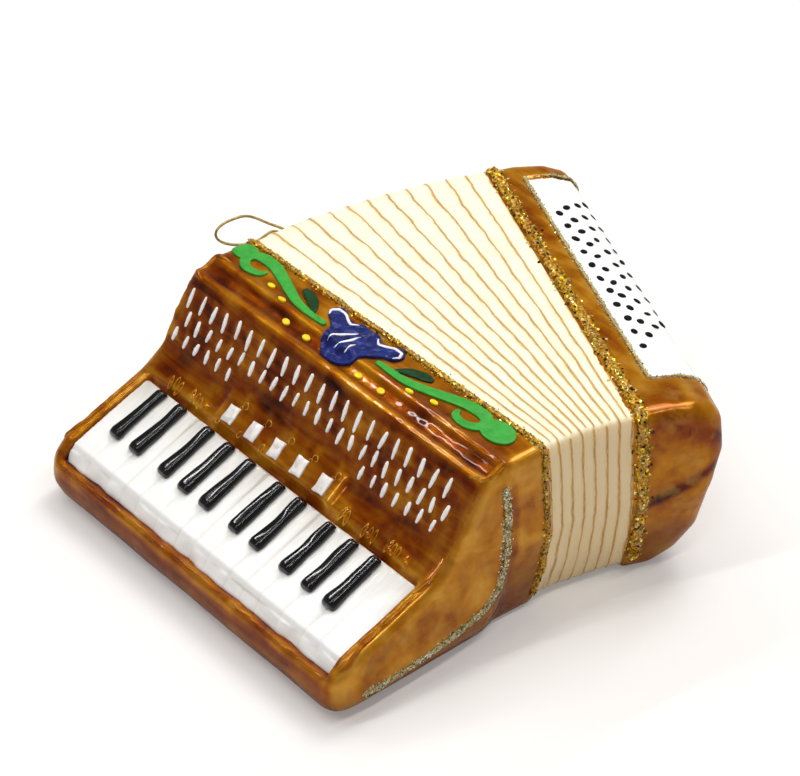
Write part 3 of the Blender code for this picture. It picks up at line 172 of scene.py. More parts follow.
VIEW_TARGET = Vector((-0.7, 0.7, 20.0)) * MM
VIEW_AZIMUTH, VIEW_ELEVATION, VIEW_ROLL = (math.radians(angle) for angle in (-39.02, 36.36, -0.33))
VIEW_DISTANCE = 716.5 * MM
lens = bpy.data.cameras.new("photo_view")
lens.sensor_fit = "HORIZONTAL"
lens.sensor_width = 36.0
lens.lens = 162.7
lens.clip_start = 0.05
camera = add_object("photo_view", lens)
level = math.cos(VIEW_ELEVATION)
back = Vector((math.sin(VIEW_AZIMUTH) * level, -math.cos(VIEW_AZIMUTH) * level, math.sin(VIEW_ELEVATION)))
turn = back.to_track_quat("Z", "Y").to_matrix().to_4x4() @ Matrix.Rotation(VIEW_ROLL, 4, "Z")
camera.matrix_world = Matrix.Translation(VIEW_TARGET + back * VIEW_DISTANCE) @ turn
scene.camera = camera


# Blown glass body
# One hollow blown piece, silvered inside and brushed outside with amber lacquer that runs in streaks along the
# boxes. Painted shade darkens it in the hollows and a painted gold highlight lightens it on the ridges, over the
# lacquer's own pooling and thinning there. Its neck is open at the back.
WALL_GRAIN = 0.64 * MM
MERGE_REACH = 0.001 * MM
LIP_HEIGHT = 0.4 * MM
KEYS_LOW, KEYS_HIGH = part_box("white_keys")
# Where the keyboard box meets the bellows, halfway along the box and on the table
JOINT = Vector((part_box("treble_joint_glitter")[1].x + 0.2 * MM, (KEYS_LOW.y + KEYS_HIGH.y) / 2.0, 0.0))
FAN_ANGLE = math.radians(21.9)
FAN_RADIUS = 94.8 * MM
HALF_LENGTH = 45.0 * MM


def only(piece):
    """Leave one piece selected and active."""
    bpy.ops.object.select_all(action="DESELECT")
    bpy.context.view_layer.objects.active = piece
    piece.select_set(True)


def merge_corners(piece):
    """Join the corners that meet, and drop the normals that the facets kept for themselves."""
    only(piece)
    bpy.ops.object.mode_set(mode="EDIT")
    bpy.ops.mesh.select_all(action="SELECT")
    bpy.ops.mesh.remove_doubles(threshold=MERGE_REACH)
    bpy.ops.mesh.customdata_custom_splitnormals_clear()
    bpy.ops.object.mode_set(mode="OBJECT")


def copy_of(source, name):
    """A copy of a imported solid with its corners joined, selected and active."""
    piece = add_object(name, frame["nodes"][source].data.copy())
    piece.data.materials.clear()
    merge_corners(piece)
    return piece


def apply_modifier(piece, kind, settings):
    """Put one modifier on a piece and apply it."""
    bpy.context.view_layer.objects.active = piece
    step = piece.modifiers.new("step", kind)
    for name, value in settings.items():
        setattr(step, name, value)
    bpy.ops.object.modifier_apply(modifier=step.name)


def soften(piece, grain, rounds):
    """Rebuild a piece in small even faces and round its edges, as blown glass or thick paint is."""
    apply_modifier(piece, "REMESH", {"mode": "VOXEL", "voxel_size": grain})
    apply_modifier(piece, "SMOOTH", {"factor": 0.5, "iterations": rounds})
    piece.data.shade_smooth()


def skin_of(piece):
    """The places and the normals of a piece's vertices, one row each."""
    rows = np.zeros((2, len(piece.data.vertices) * 3))
    piece.data.vertices.foreach_get("co", rows[0])
    piece.data.vertices.foreach_get("normal", rows[1])
    return rows[0].reshape(-1, 3), rows[1].reshape(-1, 3)


def move_skin(piece, places):
    """Move a piece's vertices to new places."""
    piece.data.vertices.foreach_set("co", places.ravel())
    piece.data.update()


def waver(piece, wave, depth, shift=0.0, front=None):
    """Push a skin in and out by depth in soft waves, as handwork does; front limits how far back."""
    places, normals = skin_of(piece)
    moved = places / wave + shift * np.array((1.0, 0.7, -1.0))
    push = np.array([noise.noise(place) for place in moved])
    if front is not None:
        push = np.where(places[:, 0] < front, push, 0.0)
    move_skin(piece, places + normals * depth * push[:, None])


def dress(piece, look, body, slot, *nodes):
    """Give a finished piece its material and its body, and hide the solids that it stands for; slot is not used."""
    piece.data.materials.clear()
    piece.data.materials.append(look)
    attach(piece, body)
    if nodes:
        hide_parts(*nodes)


def put_attribute(piece, name, values):
    """Store a number for each vertex of a piece, or the same one for all."""
    made = piece.data.attributes.new(name, "FLOAT", "POINT")
    made.data.foreach_set("value", np.full(len(made.data), values, np.float32))


turning = next(joint for joint in frame["joints"] if joint["name"] == "cap_turn")
NECK_FOOT = Vector(turning["pos_m"])
NECK_AXIS = Vector(turning["axis"]).normalized()


def select_faces(piece, wanted):
    """Leave a piece in edit mode with only the wanted faces selected."""
    only(piece)
    bpy.ops.object.mode_set(mode="EDIT")
    bpy.ops.mesh.select_mode(type="FACE")
    bpy.ops.mesh.select_all(action="DESELECT")
    bpy.ops.object.mode_set(mode="OBJECT")
    for face in piece.data.polygons:
        face.select = wanted(face)
    bpy.ops.object.mode_set(mode="EDIT")


def select_rims(piece):
    """Leave a piece in edit mode with only its open rims selected."""
    only(piece)
    bpy.ops.object.mode_set(mode="EDIT")
    bpy.ops.mesh.select_mode(type="EDGE")
    bpy.ops.mesh.select_all(action="DESELECT")
    bpy.ops.mesh.select_non_manifold()


def along_neck(place):
    """How far out along the neck's axis a place is."""
    return (place - NECK_FOOT).dot(NECK_AXIS)


# Without the flat ring round its mouth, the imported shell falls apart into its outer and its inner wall
glass = copy_of("glass_body", "blown_glass")
mouth = max(along_neck(vertex.co) for vertex in glass.data.vertices)
ring_low = mouth - 0.05 * MM
select_faces(glass, lambda face: along_neck(face.center) > ring_low and face.normal.dot(NECK_AXIS) > 0.9)
bpy.ops.mesh.delete(type="FACE")
bpy.ops.mesh.select_all(action="SELECT")
bpy.ops.mesh.separate(type="LOOSE")
bpy.ops.object.mode_set(mode="OBJECT")
inner_wall, glass = sorted(bpy.context.selected_objects, key=lambda half: half.dimensions.x)
inner_wall.name = "blown_glass_inside"
glass.name = "blown_glass"

# The outer wall is closed while it is softened, then opened below the mouth and joined to the inner wall
select_rims(glass)
bpy.ops.mesh.edge_face_add()
bpy.ops.object.mode_set(mode="OBJECT")
soften(glass, WALL_GRAIN, 3)
waver(glass, 9.0 * MM, 0.16 * MM)
waver(glass, 2.6 * MM, 0.035 * MM, 3.0)
rows, _ = skin_of(glass)
rows[:, 2] = np.maximum(rows[:, 2], 0.0)
move_skin(glass, rows)

bpy.ops.object.mode_set(mode="EDIT")
bpy.ops.mesh.select_all(action="SELECT")
neck_end = NECK_FOOT + NECK_AXIS * (mouth - LIP_HEIGHT)
bpy.ops.mesh.bisect(plane_co=neck_end, plane_no=NECK_AXIS, clear_outer=True)
bpy.ops.object.mode_set(mode="OBJECT")
inner_wall.select_set(True)
bpy.ops.object.join()
select_rims(glass)
bpy.ops.mesh.bridge_edge_loops()
bpy.ops.object.mode_set(mode="OBJECT")
glass.data.shade_smooth()


def step_up(values, low, high):
    """0 below low, 1 above high and a soft rise between them."""
    share = np.clip((values - low) / (high - low), 0.0, 1.0)
    return share * share * (3.0 - 2.0 * share)


def hollowness(piece, spread):
    """For each vertex, above 0 in a hollow and below 0 on a ridge, evened over spread steps."""
    places, normals = skin_of(piece)
    count = len(places)
    ends = np.zeros(len(piece.data.edges) * 2, int)
    piece.data.edges.foreach_get("vertices", ends)
    first, second = ends.reshape(-1, 2).T
    apart = places[second] - places[first]
    length = np.linalg.norm(apart, axis=1) + 1e-9
    number = np.bincount(first, minlength=count) + np.bincount(second, minlength=count)
    rise = np.bincount(first, (apart * normals[first]).sum(1) / length, count)
    rise -= np.bincount(second, (apart * normals[second]).sum(1) / length, count)
    value = rise / np.maximum(number, 1)
    for _ in range(spread):
        total = np.bincount(first, value[second], count) + np.bincount(second, value[first], count)
        value = 0.5 * value + 0.5 * total / np.maximum(number, 1)
    return places, value


# Places from the joint in millimetres, and the share of each region of the glass at every vertex
places, hollow = hollowness(glass, 3)
local = (places - np.array(JOINT)) / MM
across, along, up = local.T
fan_cos, fan_sin, fan_radius = math.cos(FAN_ANGLE), math.sin(FAN_ANGLE), FAN_RADIUS / MM
bass_out = across * fan_cos - (along + fan_radius) * fan_sin
bass_along = across * fan_sin + (along + fan_radius) * fan_cos - fan_radius
bass = step_up(bass_out, -0.5, 0.5) * step_up(across, 5.0, 15.0)
grille = step_up(-across, 15.2, 17.5) * step_up(up, 21.0, 23.0)
ledge = step_up(-across, 23.0, 24.5) * (1.0 - step_up(-across, 30.5, 32.0)) * step_up(up, 19.0, 20.5)
ridges = step_up(-across, 8.4, 9.4) * (1.0 - step_up(-across, 15.2, 17.5))
rail = step_up(-across, 47.0, 50.0)
ends = step_up(np.abs(along), 43.0, 44.8) * (1.0 - step_up(up, 38.0, 39.5) * 0.5)
low_edge = np.where(across > -14.0, 16.0, 7.5)
box_under = 1.0 - step_up(up, low_edge - 3.0, low_edge + 1.5)
under = np.where(bass > 0.5, 1.0 - step_up(up, 12.0, 17.0), box_under)
near_side = step_up(-along, 30.0, 45.0)


def darker_along(points, width, strength, rows=local):
    """A dark line of painted shade: how much darker each vertex is near a run of (across, along, up) points."""
    least = np.full(len(rows), 1e9)
    for start, end in zip(points, points[1:]):
        start, end = np.array(start), np.array(end)
        way = end - start
        share = np.clip(((rows - start) @ way) / (way @ way), 0.0, 1.0)
        least = np.minimum(least, np.linalg.norm(rows - start - share[:, None] * way, axis=1))
    return strength * np.exp(-((least / width) ** 2))


def bass_spot(out, spot_along, spot_up):
    """A place on the bass box from its own joint, as (across, along, up)."""
    radius = fan_radius + spot_along
    return fan_sin * radius + fan_cos * out, fan_cos * radius - fan_sin * out - fan_radius, spot_up


def other_end(points):
    """The same places at the other end of the keyboard box."""
    return tuple((point[0], -point[1], point[2]) for point in points)


def surface_of(piece):
    """The skin of a piece, to find places on it."""
    return BVHTree.FromObject(piece, bpy.context.evaluated_depsgraph_get())


# How dark the lacquer is: 0 is thin gold, 1 is nearly black. It holds the tone by region and painted shade along
# rims, edges and creases
# The ledge is painted lighter: painted light against the shade that falls in its corner
lacquer_tone_and_shade = 0.39 + 0.13 * ridges + 0.17 * grille - 0.12 * ledge + 0.12 * rail
lacquer_tone_and_shade = lacquer_tone_and_shade * (1.0 - ends) + 0.24 * ends
bass_stain = 0.30 + 0.08 * step_up(bass_out, 13.0, 18.0) + 0.06 * step_up(-bass_along, 40.0, 44.0)
lacquer_tone_and_shade = lacquer_tone_and_shade * (1.0 - bass) + bass * bass_stain
CHEEK_RIM = ((-15.8, -45.0, 38.6), (-24.4, -45.0, 25.0), (-31.0, -44.6, 19.5), (-48.0, -44.6, 9.5))
# Runs of painted shade along rims, edges and creases: each run's places, its width in millimetres and how much
# darker it is
DARK_RUNS = (
    (CHEEK_RIM, 1.3, 0.30),
    (other_end(CHEEK_RIM), 1.3, 0.30),
    (((-24.2, -43.0, 24.6), (-24.2, 43.0, 24.6)), 1.6, 0.08),
    (((-16.4, -43.0, 38.0), (-16.4, 43.0, 38.0)), 0.9, 0.18),
    (((-50.8, -40.0, 7.4), (-51.4, -10.0, 6.2), (-51.0, 20.0, 7.0), (-51.4, 42.0, 6.0)), 0.9, 0.38),
    (((-51.4, -44.0, 3.6), (-51.8, 0.0, 2.8), (-51.4, 44.0, 3.6)), 1.4, 0.25),
    ((bass_spot(6.0, -44.0, 36.5), bass_spot(13.0, -44.4, 35.0), bass_spot(18.0, -43.5, 31.0)), 2.4, 0.38),
    ((bass_spot(2.0, 44.5, 38.5), bass_spot(10.0, 44.8, 37.5), bass_spot(18.0, 43.5, 33.0)), 1.8, 0.40),
    ((bass_spot(18.8, -42.0, 34.0), bass_spot(19.4, -43.0, 22.0)), 1.2, 0.35),
    ((bass_spot(0.9, -44.0, 40.0), bass_spot(0.9, 44.0, 40.0)), 0.9, 0.22),
)
for run, width, strength in DARK_RUNS:
    lacquer_tone_and_shade += darker_along(run, width, strength)
# Painted shade in the crease across the bass box's near end, as places out from its joint and up
CREASE = ((1.5, 19.5), (9.0, 22.0), (19.5, 27.0))
crease = darker_along(CREASE, 1.2, 0.60, np.stack((bass_out, up), axis=1))
lacquer_tone_and_shade += crease * bass * step_up(-bass_along, 38.0, 41.0)
# Painted shade in a dark run beside the glitter line on each end of the keyboard box
BESIDE_GLITTER = Vector((1.5, 0.0, -0.8)) * MM
for source in ("near_cheek_glitter", "far_cheek_glitter"):
    glitter_skin = surface_of(frame["nodes"][source])
    for index in np.flatnonzero(ends > 0.3):
        found = glitter_skin.find_nearest(Vector(places[index]) - BESIDE_GLITTER, 2.5 * MM)[3]
        if found is not None:
            lacquer_tone_and_shade[index] += 0.38 * math.exp(-((found / (0.7 * MM)) ** 2))
put_attribute(glass, "lacquer_tone_and_shade", lacquer_tone_and_shade)
# Painted shade in the hollows and a painted highlight on the ridges, over the lacquer's own pooling and thinning
put_attribute(glass, "hollow", np.clip(hollow * 7.0, -0.35, 1.0))
cloudy = ends * (0.35 + 0.65 * near_side) + bass * near_side + 0.25
put_attribute(glass, "cloudy", np.clip(cloudy, 0.0, 1.0))
# The lower part gets a painted reflection of the white card, in rosy brown
put_attribute(glass, "card_reflection", np.clip(under, 0.0, 1.0))

# Amber lacquer over silvered glass: the mirror behind it makes it glow like metal, and its own face
# is a hard clear gloss. Laid on with a brush along the boxes, it runs in broad soft streaks.
CLOUD_WIDTH = 8.5 * MM
STREAK_WIDTH = 1.9 * MM
STREAK_STRETCH = 0.13
PATCH_WIDTH = 5.0 * MM
DIMPLE_WIDTH = 4.2 * MM
AMBERS = (
    (0.00, "#d09430"),
    (0.18, "#bd7a10"),
    (0.34, "#a66205"),
    (0.50, "#924900"),
    (0.66, "#782f00"),
    (0.82, "#521c00"),
    (1.00, "#250a00"),
)
lacquer, tree = blank_material("amber_lacquer_on_silvered_glass")
place = node(tree, "TexCoord", {}, "Object")
tone_and_shade_value, hollow_value, cloudy_value, card_reflection_value = (
    node(tree, "Attribute", {"attribute_name": name}, "Fac") for name in ("lacquer_tone_and_shade", "hollow", "cloudy", "card_reflection")
)
stretched = node(tree, "Mapping", {"Vector": place, "Scale": (1.0, STREAK_STRETCH, 1.0)})
swirl = {"Detail": 3.0, "Roughness": 0.55, "Distortion": 0.35}
cloud = node(tree, "TexNoise", {"Vector": place, "Scale": 1.0 / CLOUD_WIDTH, **swirl})
swirl = {"Detail": 2.0, "Distortion": 0.5}
streak = node(tree, "TexNoise", {"Vector": stretched, "Scale": 1.0 / STREAK_WIDTH, **swirl})
span = {"From Min": 0.32, "From Max": 0.68, "To Min": -0.22, "To Max": 0.22}
cloud_part = node(tree, "MapRange", {"Value": cloud, **span})
span = {"From Min": 0.3, "From Max": 0.7, "To Min": -0.19, "To Max": 0.19}
streak_part = node(tree, "MapRange", {"Value": streak, **span})
plain_share = node(tree, "Math", {"operation": "MULTIPLY_ADD", 0: cloudy_value, 1: -0.75, 2: 1.0})
streak_part = node(tree, "Math", {"operation": "MULTIPLY", 0: streak_part, 1: plain_share})
# The hollow attribute darkens hollows as painted shade and lightens ridges as painted highlight
depth = node(tree, "Math", {"operation": "MULTIPLY_ADD", 0: hollow_value, 1: 0.5, 2: tone_and_shade_value})
for part in (cloud_part, streak_part):
    depth = node(tree, "Math", {"operation": "ADD", 0: depth, 1: part})
amber = node(tree, "ValToRGB", {"Fac": depth, "stops": AMBERS})
# Pale cloudy patches on the boxes' ends, and a rosy brown on the lower part: a painted reflection of the white card
swirl = {"Detail": 3.5, "Roughness": 0.55, "Distortion": 0.4}
patch = node(tree, "TexNoise", {"Vector": place, "Scale": 1.0 / PATCH_WIDTH, **swirl})
span = {"From Min": 0.50, "From Max": 0.75, "To Min": 0.0, "To Max": 0.45}
patch = node(tree, "MapRange", {"Value": patch, **span})
patch = node(tree, "Math", {"operation": "MULTIPLY", 0: patch, 1: cloudy_value})
clouded = node(tree, "Mix", {"data_type": "RGBA", 0: patch, 6: amber, 7: linear("#d0a048")}, 2)
card_reflection_share = node(tree, "Math", {"operation": "MULTIPLY", 0: card_reflection_value, 1: 0.55})
coloured = node(tree, "Mix", {"data_type": "RGBA", 0: card_reflection_share, 6: clouded, 7: linear("#7d4214")}, 2)
dimples = node(tree, "TexNoise", {"Vector": place, "Scale": 1.0 / DIMPLE_WIDTH, "Detail": 1.5})
bumps = node(tree, "Bump", {"Height": dimples, "Strength": 0.18, "Distance": 0.40 * MM})
bumps = node(tree, "Bump", {"Height": streak, "Strength": 0.20, "Distance": 0.25 * MM, "Normal": bumps})
lacquer_look = {
    "Base Color": coloured,
    "Metallic": 0.40,
    "Roughness": node(tree, "MapRange", {"Value": cloud, "To Min": 0.16, "To Max": 0.34}),
    "Specular IOR Level": 0.0,
    "Coat Weight": 0.35,
    "Coat Roughness": 0.03,
    "Normal": bumps,
    "Coat Normal": bumps,
}
node(tree, "OutputMaterial", {"Surface": node(tree, "BsdfPrincipled", lacquer_look)})
dress(glass, lacquer, "ornament", "amber_glass", "glass_body")
glass_skin = surface_of(glass)


# Silver coat
# The mirror film inside the glass, poured in through the neck as a silver salt. It only shows in the
# neck, but its glow is what lights the lacquer.
def mottled(name, wave, stops, grain, gloss, bump=None, rub=None):
    """A finish whose shade drifts in patches of wave millimetres, with their bumps and worn gloss."""
    made, tree = blank_material(name)
    place = node(tree, "TexCoord", {}, "Object")
    drift = node(tree, "TexNoise", {"Vector": place, "Scale": 1.0 / (wave * MM), **grain})
    look = {"Base Color": node(tree, "ValToRGB", {"Fac": drift, "stops": stops}), **gloss}
    if bump is not None:
        look["Normal"] = node(tree, "Bump", {"Height": drift, "Strength": bump[0], "Distance": bump[1] * MM})
    if rub is not None:
        look["Roughness"] = node(tree, "MapRange", {"Value": drift, "To Min": rub[0], "To Max": rub[1]})
    node(tree, "OutputMaterial", {"Surface": node(tree, "BsdfPrincipled", look)})
    return made


SILVERS = ((0.35, "#c9c9c6"), (0.7, "#eeeeec"))
silver = mottled("chemical_silvering", 3.0, SILVERS, {"Detail": 4.0}, {"Metallic": 1.0, "Roughness": 0.12})
lining = frame["nodes"]["silver_lining"].data
lining.materials.clear()
lining.materials.append(silver)


# White keys
# Thick white enamel brushed over the moulded key bed, along the keys. Its front lip is softly scalloped,
# and only faint grooves part the keys.
KEY_GRAIN = 0.28 * MM
GROUP_GAP = 8.0 * MM
GROOVE_WIDTH = 0.32 * MM
GROOVE_SHADE = 0.36
# A packed coat hangs this far above the glass; a real one grips it, so here it is sunk in a little
GAP = 0.3 * MM
SUNK = 0.05 * MM


def lay_on(piece, skin, stretch, most=1.0):
    """Lay a coat straight on a skin: close the gap under it, level it at most and stretch what is left."""
    places, _ = skin_of(piece)
    for index, place in enumerate(places):
        place = Vector(place)
        spot, normal, _, _ = skin.find_nearest(place, 6.0 * MM)
        if spot is not None:
            above = (place - spot).dot(normal)
            wanted = (min(above, most) - GAP) * stretch - SUNK
            places[index] = place + normal * (wanted - above)
    move_skin(piece, places)


keys = copy_of("white_keys", "keyboard_enamel")
soften(keys, KEY_GRAIN, 7)
lay_on(keys, glass_skin, 1.4)
waver(keys, 3.0 * MM, 0.08 * MM, 11.0)
waver(keys, 3.6 * MM, 0.45 * MM, 21.0, KEYS_LOW.x + 1.6 * MM)
apply_modifier(keys, "SMOOTH", {"factor": 0.5, "iterations": 3})
# The enamel greys towards the back of the keys, where the brush was nearly dry, with painted shade there too,
# and painted shade darkens the grooves between them
key_rows, _ = skin_of(keys)
dry_grey_and_shade = np.interp(key_rows[:, 0], (KEYS_LOW.x + 8.0 * MM, KEYS_HIGH.x), (-0.25, 0.42))
key_joints = [sum(corner.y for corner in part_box(f"black_key_{number:02d}")) / 2.0 for number in range(1, 11)]
key_joints += [(y + after) / 2.0 for y, after in zip(key_joints, key_joints[1:]) if y - after > GROUP_GAP]
to_joint = np.abs(key_rows[:, 1:2] - np.array(key_joints)).min(axis=1)
dry_grey_and_shade += GROOVE_SHADE * np.exp(-((to_joint / GROOVE_WIDTH) ** 2))
put_attribute(keys, "dry_grey_and_shade", dry_grey_and_shade)

# Satin enamel: the brush's hairs leave fine lines along each key, in broader soft bands
BRUSH_WIDTH = 0.55 * MM
BAND_WIDTH = 2.6 * MM
WHITES = ((0.25, "#fffefb"), (0.62, "#efece5"), (1.0, "#c2bcb2"))
white_enamel, tree = blank_material("brushed_white_enamel")
place = node(tree, "TexCoord", {}, "Object")
stretched = node(tree, "Mapping", {"Vector": place, "Scale": (0.10, 1.0, 0.10)})
hairs = node(tree, "TexNoise", {"Vector": stretched, "Scale": 1.0 / BRUSH_WIDTH, "Detail": 2.0})
bands = node(tree, "TexNoise", {"Vector": stretched, "Scale": 1.0 / BAND_WIDTH, "Detail": 2.0})
shade = node(tree, "Attribute", {"attribute_name": "dry_grey_and_shade"}, "Fac")
for marks, share in ((bands, 0.55), (hairs, 0.18)):
    shade = node(tree, "Math", {"operation": "MULTIPLY_ADD", 0: marks, 1: share, 2: shade})
tone = node(tree, "ValToRGB", {"Fac": shade, "stops": WHITES})
bumps = node(tree, "Bump", {"Height": bands, "Strength": 0.5, "Distance": 0.4 * MM})
bumps = node(tree, "Bump", {"Height": hairs, "Strength": 0.15, "Distance": 0.1 * MM, "Normal": bumps})
look = {"Base Color": tone, "Roughness": 0.34, "Coat Weight": 0.2, "Coat Roughness": 0.15, "Normal": bumps}
node(tree, "OutputMaterial", {"Surface": node(tree, "BsdfPrincipled", look)})
dress(keys, white_enamel, "ornament", "white_enamel", "white_keys")


# Black keys
# Ten thick runs of black gloss enamel on the moulded black keys, a little uneven and fuller at the front.
# They are brushed on over the dry white.
BLACK_GRAIN = 0.16 * MM
FRONT_STRETCH = 0.05
black_enamel = mottled(
    "black_gloss_enamel",
    1.8,
    ((0.35, "#040404"), (0.75, "#0c0c0d")),
    {"Detail": 1.0},
    {"Roughness": 0.12, "Coat Weight": 0.3, "Coat Roughness": 0.05},
    bump=(0.06, 0.15),
)
key_skin = surface_of(keys)
for number in range(1, 11):
    key = copy_of(f"black_key_{number:02d}", f"black_enamel_key_{number:02d}")
    soften(key, BLACK_GRAIN, 9)
    rows, _ = skin_of(key)
    middle, front, back_end = rows[:, 1].mean(), rows[:, 0].min(), rows[:, 0].max()
    widening = np.interp(rows[:, 0], (front, front + 3.0 * MM, back_end), (1.40, 1.30, 1.20))
    rows[:, 1] = middle + (rows[:, 1] - middle) * widening
    slope = np.polyfit(rows[:, 0], rows[:, 2], 1)[0]
    forward = (rows[:, 0] - back_end) * FRONT_STRETCH
    rows[:, 0] += forward
    rows[:, 2] += forward * slope
    move_skin(key, rows)
    lay_on(key, key_skin, 1.15)
    waver(key, 5.0 * MM, 0.30 * MM, number * 5.0)
    apply_modifier(key, "SMOOTH", {"factor": 0.5, "iterations": 6})
    dress(key, black_enamel, "ornament", "black_enamel", f"black_key_{number:02d}")


# Register tabs
# Five square dabs of pearly white enamel on the raised block behind the keys, each pulled a little out
# of true by the brush.
pearl = mottled(
    "pearl_white_enamel",
    1.6,
    ((0.3, "#dcd3cc"), (0.6, "#fbf6f1")),
    {"Detail": 4.0, "Distortion": 0.6},
    {"Roughness": 0.25, "Coat Weight": 0.6, "Coat Roughness": 0.08},
    bump=(0.4, 0.2),
)


def frame_at(centre, normal, forward):
    """A placing with Z along a normal and Y as near as it can be to forward."""
    z = normal.normalized()
    x = forward.cross(z).normalized()
    y = z.cross(x)
    return Matrix.Translation(centre) @ Matrix((x, y, z)).transposed().to_4x4()


TAB_HALF_WIDTH = 1.50 * MM
TAB_HALF_LENGTH = 1.95 * MM
TAB_HALF_DEPTH = 0.42 * MM
TAB_RISE = 0.12 * MM
for number in range(1, 6):
    solid = frame["nodes"][f"register_tab_{number}"].data
    top = max(solid.polygons, key=lambda face: face.area * (face.normal.z > 0.1))
    low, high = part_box(f"register_tab_{number}")
    bpy.ops.mesh.primitive_cube_add(size=2.0)
    tab = bpy.context.active_object
    tab.name = f"register_dab_{number}"
    bpy.ops.object.mode_set(mode="EDIT")
    bpy.ops.mesh.subdivide(number_cuts=9)
    bpy.ops.object.mode_set(mode="OBJECT")
    hit = glass_skin.ray_cast((low + high) / 2.0 + top.normal * 3.0 * MM, -top.normal)[0]
    placing = frame_at(hit + top.normal * TAB_RISE, top.normal, Vector((0.6, 0.12, 0.5)))
    for vertex in tab.data.vertices:
        u, v, w = vertex.co
        edge = max(abs(u), abs(v))
        x = (u * (1.0 - 0.05 * (1.0 - v * v)) + 0.10 * v) * TAB_HALF_WIDTH
        y = (v * (1.0 - 0.04 * (1.0 - u * u)) - 0.08 * u) * TAB_HALF_LENGTH
        vertex.co = placing @ Vector((x, y, w * TAB_HALF_DEPTH * (1.0 - 0.55 * edge**6)))
    apply_modifier(tab, "SMOOTH", {"factor": 0.5, "iterations": 2})
    waver(tab, 1.8 * MM, 0.22 * MM, number * 7.0)
    tab.data.shade_smooth()
    dress(tab, pearl, "ornament", "tab_enamel", f"register_tab_{number}")


# Grille strokes
# Three rows of short white brush strokes on the raised bars of the grille, each one a little different.
# Each row's strokes, its share of the way up the grille and its strokes' length in millimetres
STROKE_ROWS = ((22, 0.79, 4.5), (24, 0.50, 3.4), (24, 0.25, 3.0))
STROKE_SPAN = 83.0 * MM
GRILLE_FOOT = JOINT + Vector((-24.0, 0.0, 25.0)) * MM
GRILLE_TOP = JOINT + Vector((-16.3, 0.0, 38.0)) * MM
STROKE_WIDTH = 1.08 * MM
STROKE_RISE = 0.30 * MM


def scatter(name, shape, places):
    """One object that holds a copy of a small shape at each place."""
    count = len(shape.vertices)
    corners = np.ones((count, 4))
    for index, vertex in enumerate(shape.vertices):
        corners[index, :3] = vertex.co
    faces = [list(face.vertices) for face in shape.polygons]
    points = np.concatenate([(corners @ np.array(place).T)[:, :3] for place in places])
    copied = [[corner + count * copy for corner in face] for copy in range(len(places)) for face in faces]
    mesh = bpy.data.meshes.new(name)
    mesh.from_pydata(points.tolist(), [], copied)
    mesh.shade_smooth()
    return add_object(name, mesh)


def bit_at(centre, normal, forward, size):
    """The placing of one small bit of a given size."""
    return frame_at(centre, normal, forward) @ Matrix.Diagonal((*size, 1.0))


# A stroke is a round dash, long along Y and thinner towards its ends
bpy.ops.mesh.primitive_uv_sphere_add(segments=12, ring_count=8, radius=0.5, rotation=(QUARTER_TURN, 0.0, 0.0))
dash = bpy.context.active_object
bpy.ops.object.transform_apply(rotation=True)
for vertex in dash.data.vertices:
    if abs(vertex.co.y) > 0.01:
        vertex.co.y += math.copysign(1.0, vertex.co.y)
    vertex.co.z *= 1.0 - 0.25 * (vertex.co.y / 1.5) ** 2
    vertex.co.x *= 1.0 - 0.40 * (vertex.co.y / 1.5) ** 2

grille_up = (GRILLE_TOP - GRILLE_FOOT).normalized()
grille_out = Vector((-grille_up.z, 0.0, grille_up.x))
block_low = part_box("register_tab_5")[0].y - 3.0 * MM
block_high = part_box("register_tab_1")[1].y + 3.0 * MM
stroke_places = []
for row, (count, share, length) in enumerate(STROKE_ROWS):
    pitch = STROKE_SPAN / count
    for index in range(count):
        y = JOINT.y + STROKE_SPAN / 2.0 - pitch * (index + 0.5 * (row % 2))
        if row == 2 and block_low < y < block_high:
            continue
        spot = GRILLE_FOOT.lerp(GRILLE_TOP, share + random.uniform(-0.02, 0.02))
        spot.y = y + random.uniform(-0.15, 0.15) * MM
        hit = glass_skin.ray_cast(spot + grille_out * 5.0 * MM, -grille_out)[0]
        forward = grille_up + Vector((0.0, random.uniform(-0.14, 0.14), 0.0))
        width = STROKE_WIDTH * random.uniform(0.85, 1.1)
        half = length * MM * random.uniform(0.85, 1.08) / 3.0
        stroke_places.append(bit_at(hit, grille_out, forward, (width, half, STROKE_RISE * 2.0)))
strokes = scatter("grille_strokes", dash.data, stroke_places)
bpy.data.objects.remove(dash)
waver(strokes, 1.3 * MM, 0.14 * MM, 4.0)

# Thin glossy white paint, a little warm where the lacquer shows through it
blush = mottled(
    "white_brush_paint",
    1.2,
    ((0.26, "#f2e2d4"), (0.42, "#fffefc")),
    {"Detail": 3.0},
    {"Roughness": 0.3, "Coat Weight": 0.4, "Coat Roughness": 0.1},
)
dress(strokes, blush, "ornament", "tab_enamel")


# Highlight loops, beads and lacquer runs
# Small raised rings of pale gold lacquer behind the black keys and above the register dabs stand for the loops of
# light
# that bumps of lacquer catch there: painted highlights. Thick lacquer runs line the key bed's rims, grille ends and
# deck corner.
def lacquer_bit(piece, depth):
    """Finish a bit of raised lacquer: depth sets its colour, palest for the loops of painted highlight."""
    put_attribute(piece, "lacquer_tone_and_shade", depth)
    put_attribute(piece, "cloudy", 0.2)
    dress(piece, lacquer, "ornament", "amber_glass")


bpy.ops.mesh.primitive_torus_add(major_segments=20, minor_segments=8, major_radius=0.5, minor_radius=0.11)
loop = bpy.context.active_object
ledge_middle = JOINT + Vector((-27.6, 0.0, 22.4)) * MM
ledge_up = Vector((4.6, 0.0, 4.6)).normalized()
ledge_out = Vector((-ledge_up.z, 0.0, ledge_up.x))
